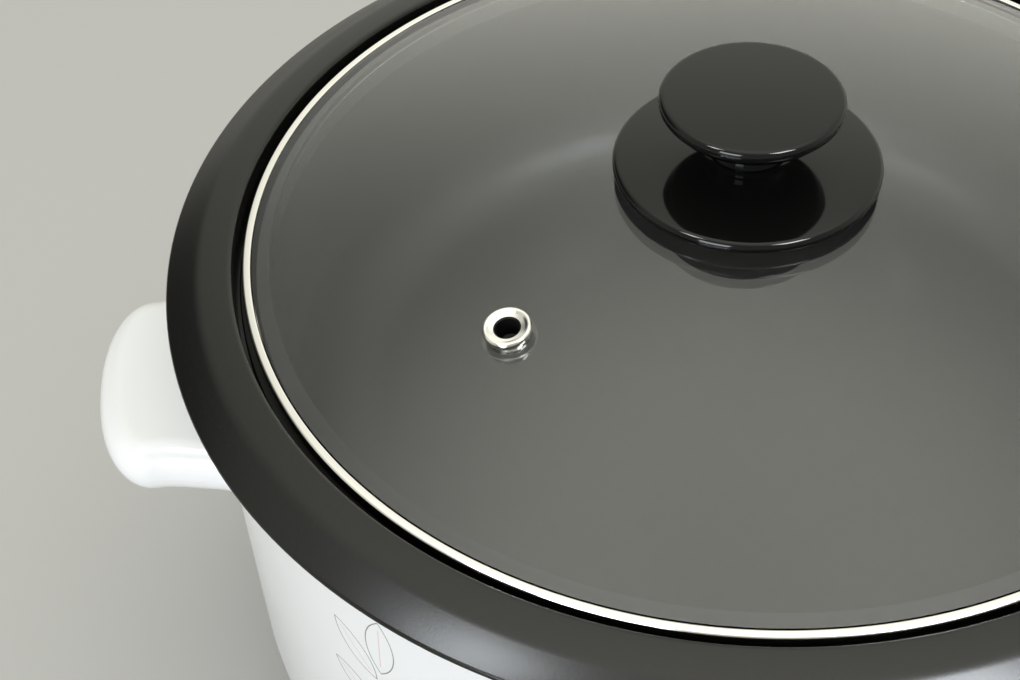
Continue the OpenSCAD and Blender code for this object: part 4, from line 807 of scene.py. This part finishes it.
# Inner pot: drawn aluminium with a black non-stick coat, satin, with a minute sparkle.
def nonstick_coat():
    material, tree, shader = new_material("nonstick_coat")
    nodes, links = tree.nodes, tree.links
    place = nodes.new("ShaderNodeTexCoord")
    sparkle = nodes.new("ShaderNodeTexVoronoi")
    sparkle.inputs["Scale"].default_value = 1800
    links.new(place.outputs["Object"], sparkle.inputs["Vector"])
    pick = nodes.new("ShaderNodeSeparateColor")
    links.new(sparkle.outputs["Color"], pick.inputs["Color"])
    sparse = nodes.new("ShaderNodeMapRange")
    sparse.inputs["From Min"].default_value = 0.9
    links.new(pick.outputs["Red"], sparse.inputs["Value"])
    tint = nodes.new("ShaderNodeMix")
    tint.data_type = "RGBA"
    tint.inputs["A"].default_value = (0.004, 0.004, 0.0038, 1)
    tint.inputs["B"].default_value = (0.007, 0.007, 0.0066, 1)
    shader.inputs["Specular IOR Level"].default_value = 0.2
    links.new(sparse.outputs["Result"], tint.inputs["Factor"])
    links.new(tint.outputs["Result"], shader.inputs["Base Color"])
    surface = nodes.new("ShaderNodeGroup")
    surface.node_tree = moulded_grain
    surface.inputs["Grain Size"].default_value = 1300
    gloss = nodes.new("ShaderNodeMapRange")
    gloss.inputs["To Min"].default_value = 0.4
    gloss.inputs["To Max"].default_value = 0.46
    links.new(surface.outputs["Patches"], gloss.inputs["Value"])
    links.new(gloss.outputs["Result"], shader.inputs["Roughness"])
    return material


nonstick = nonstick_coat()
pot_low, pot_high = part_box("inner_pot")
pot_top, pot_under = pot_high.z / mm, pot_low.z / mm
mouth_r, pot_base_r, pot_t, pot_corner = 124, 121.5, 2, 23
pot = lathe([(0, pot_under, 0), (pot_base_r + pot_t, pot_under, pot_corner + pot_t),
             (mouth_r + pot_t, pot_top - pot_t, 0), (pot_flange_r, pot_top - pot_t, 0.5),
             (pot_flange_r, pot_top, 0.5), (mouth_r, pot_top, 1.2),
             (pot_base_r, pot_under + pot_t, pot_corner), (0, pot_under + pot_t, 0)], steps=240)
finish("cooking_pot", pot, nonstick, "pot", "nonstick", "inner_pot")

# Lid rim: a polished stainless channel rolled round the glass, with a skirt inside the pot's
# mouth. Its top edge shows as a thin bright band.
rim_low, rim_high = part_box("lid_rim")
rim_r = rim_high.x / mm
seal_low, seal_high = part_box("lid_seal")
lip_top = seal_low.z / mm
skirt_low = rim_low.z / mm
rim_band, lip_t = 2.4, 0.8
skirt_r = mouth_r - 0.6
rim = lathe([(rim_r, pot_top, 0), (rim_r, rim_top, 0.8), (rim_r - rim_band, rim_top, 0.6),
             (rim_r - rim_band, lip_top, 0), (skirt_r - lip_t, lip_top, 0.3),
             (skirt_r - lip_t, skirt_low, 0), (skirt_r, skirt_low, 0),
             (skirt_r, lip_top - lip_t, 0), (rim_r - rim_band, lip_top - lip_t, 0),
             (rim_r - rim_band, pot_top, 0)], steps=240)
finish("steel_rim", rim, bright, "lid", "polished_steel", "lid_rim")
silicone = moulded_plastic("black_silicone", (0.005, 0.005, 0.005), 0.5, shine=0.15)
coat(silicone, "lid_seal", "knob_washers")


# Lid glass: tempered soda-lime glass, a shallow dome, clear with a faint green tint. Light passes
# to the pot below without the shadow that a solid would cast.
def see_through(name, color, roughness, ior):
    """Clear solid that bends light to the eye, but lets the room's light straight through."""
    material, tree, shader = new_material(name)
    nodes, links = tree.nodes, tree.links
    shader.inputs["Base Color"].default_value = (*color, 1)
    shader.inputs["Roughness"].default_value = roughness
    shader.inputs["IOR"].default_value = ior
    shader.inputs["Transmission Weight"].default_value = 1.0
    clear = nodes.new("ShaderNodeBsdfTransparent")
    clear.inputs["Color"].default_value = (0.9, 0.915, 0.905, 1)
    ray = nodes.new("ShaderNodeLightPath")
    mix = nodes.new("ShaderNodeMixShader")
    either = nodes.new("ShaderNodeMath")
    either.operation = "MAXIMUM"
    links.new(ray.outputs["Is Shadow Ray"], either.inputs[0])
    links.new(ray.outputs["Is Diffuse Ray"], either.inputs[1])
    links.new(either.outputs["Value"], mix.inputs["Fac"])
    links.new(shader.outputs["BSDF"], mix.inputs[1])
    links.new(clear.outputs["BSDF"], mix.inputs[2])
    links.new(mix.outputs["Shader"], nodes["Material Output"].inputs["Surface"])
    return material


glass_low, glass_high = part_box("lid_glass")
glass_r = glass_high.x / mm
glass_t = 3.5
dome_rise = glass_high.z / mm - rim_top
dome_r = (glass_r ** 2 + dome_rise ** 2) / (2 * dome_rise)
dome_z = glass_high.z / mm - dome_r
vent_at, vent_angle, vent_hole_r, vent_flange_r = 78.5, -148.2, 3.35, 5.95
dome_steps = 40


def dome_points(radius, steps):
    """Corners of the dome's outline from the screw hole out to the edge."""
    hole_r = 3.4
    return [(r, dome_z + sqrt(radius ** 2 - r ** 2), 0)
            for r in (hole_r + (glass_r - hole_r) * i / steps for i in range(steps + 1))]


glass = lathe(dome_points(dome_r, dome_steps) + dome_points(dome_r - glass_t, dome_steps)[::-1],
              steps=240)
at_vent = (Matrix.Translation((0, 0, dome_z * mm))
           @ Matrix.Rotation(radians(vent_angle), 4, "Z")
           @ Matrix.Rotation(asin(vent_at / dome_r), 4, "Y")
           @ Matrix.Translation((0, 0, dome_r * mm)))
vent_hole = lathe([(0, -6, 0), (vent_hole_r + 0.6, -6, 0), (vent_hole_r + 0.6, 2, 0), (0, 2, 0)],
                  steps=64, place=at_vent)
clear_glass = see_through("clear_glass", (0.965, 0.975, 0.968), 0.0, 1.52)
finish("glass_dome", carve(glass, vent_hole), clear_glass, "lid", "glass", "lid_glass", sharp=60)

# Knob: two black phenolic mouldings, a shallow saucer that spreads the load on the glass and a
# round grip with a rolled edge, held by one screw from below.
dome_top = glass_high.z / mm
saucer_low, saucer_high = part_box("knob_saucer")
saucer_r = saucer_high.x / mm
seat_z = dome_top + 0.8
saucer_top = saucer_high.z / mm
saucer_edge = dome_z + sqrt(dome_r ** 2 - saucer_r ** 2) + 1.2
neck_r, bore_r = 9.8, 2.5
foot_r = 0.49 * saucer_r
foot_z = dome_z + sqrt(dome_r ** 2 - foot_r ** 2) + 0.3
saucer = lathe([(bore_r, seat_z, 0), (neck_r - 0.5, seat_z, 0), (foot_r, foot_z, 0.3),
                (foot_r, saucer_edge + 0.6, 0), (saucer_r - 2, saucer_edge, 0.8),
                (saucer_r, saucer_edge + 0.9, 0.7), (saucer_r, saucer_edge + 3.2, 1.5),
                (0.62 * saucer_r, 0.5 * (saucer_edge + 3.2 + saucer_top) - 0.4, 200),
                (neck_r + 1.2, saucer_top - 0.5, 3), (neck_r + 0.6, saucer_top, 0),
                (bore_r, saucer_top, 0)], steps=200)
finish("saucer", saucer, black_gloss, "lid", "black_plastic", "knob_saucer")
grip_low, grip_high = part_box("knob_grip")
grip_r = grip_high.x / mm
grip_z, grip_top = grip_low.z / mm, grip_high.z / mm
grip_edge = grip_top - 6.6
grip = lathe([(0, grip_z, 0), (neck_r, grip_z, 0.4), (neck_r - 1, grip_z + 0.25 * (grip_top - grip_z), 4),
              (neck_r + 1.4, grip_edge - 1.6, 4), (grip_r - 2.6, grip_edge + 0.5, 2.4),
              (grip_r, grip_edge + 3.6, 1.8), (grip_r - 0.2, grip_top - 0.7, 1.4),
              (grip_r / 2, grip_top, 300), (0, grip_top, 0)], steps=200)
finish("grip", grip, black_gloss, "lid", "black_plastic", "knob_grip")
coat(bright, "knob_screw")

# Steam vent: a polished eyelet, dished round its hole, over a clear gasket under the glass. A black
# silicone sleeve in the eyelet's bore is painted shade: it makes the hole read dark.
eyelet = lathe([(vent_hole_r, -5.0, 0), (vent_hole_r + 1.6, -5.0, 0.3), (vent_hole_r + 1.6, -4.4, 0),
                (vent_hole_r + 0.6, -4.4, 0), (vent_hole_r + 0.6, 0, 0), (vent_flange_r, 0, 0.3),
                (vent_flange_r, 2.4, 0.8), (vent_hole_r + 1, 1.5, 0.6), (vent_hole_r, 1.2, 0)],
               steps=96, place=at_vent)
finish("eyelet", eyelet, bright, "lid", "polished_steel", "vent_eyelet")
# Painted shade: a black sleeve inside the eyelet's bore, so that the vent hole looks dark.
bore_shade = lathe([(vent_hole_r, -4.9, 0), (vent_hole_r, 1.1, 0), (vent_hole_r - 0.4, 0.9, 0.2),
                (vent_hole_r - 0.4, -4.9, 0)], steps=64, place=at_vent)
finish("vent_bore_shade", bore_shade, silicone, "lid", "seal_black")
coat(see_through("clear_silicone", (0.8, 0.8, 0.78), 0.12, 1.4), "vent_gasket")
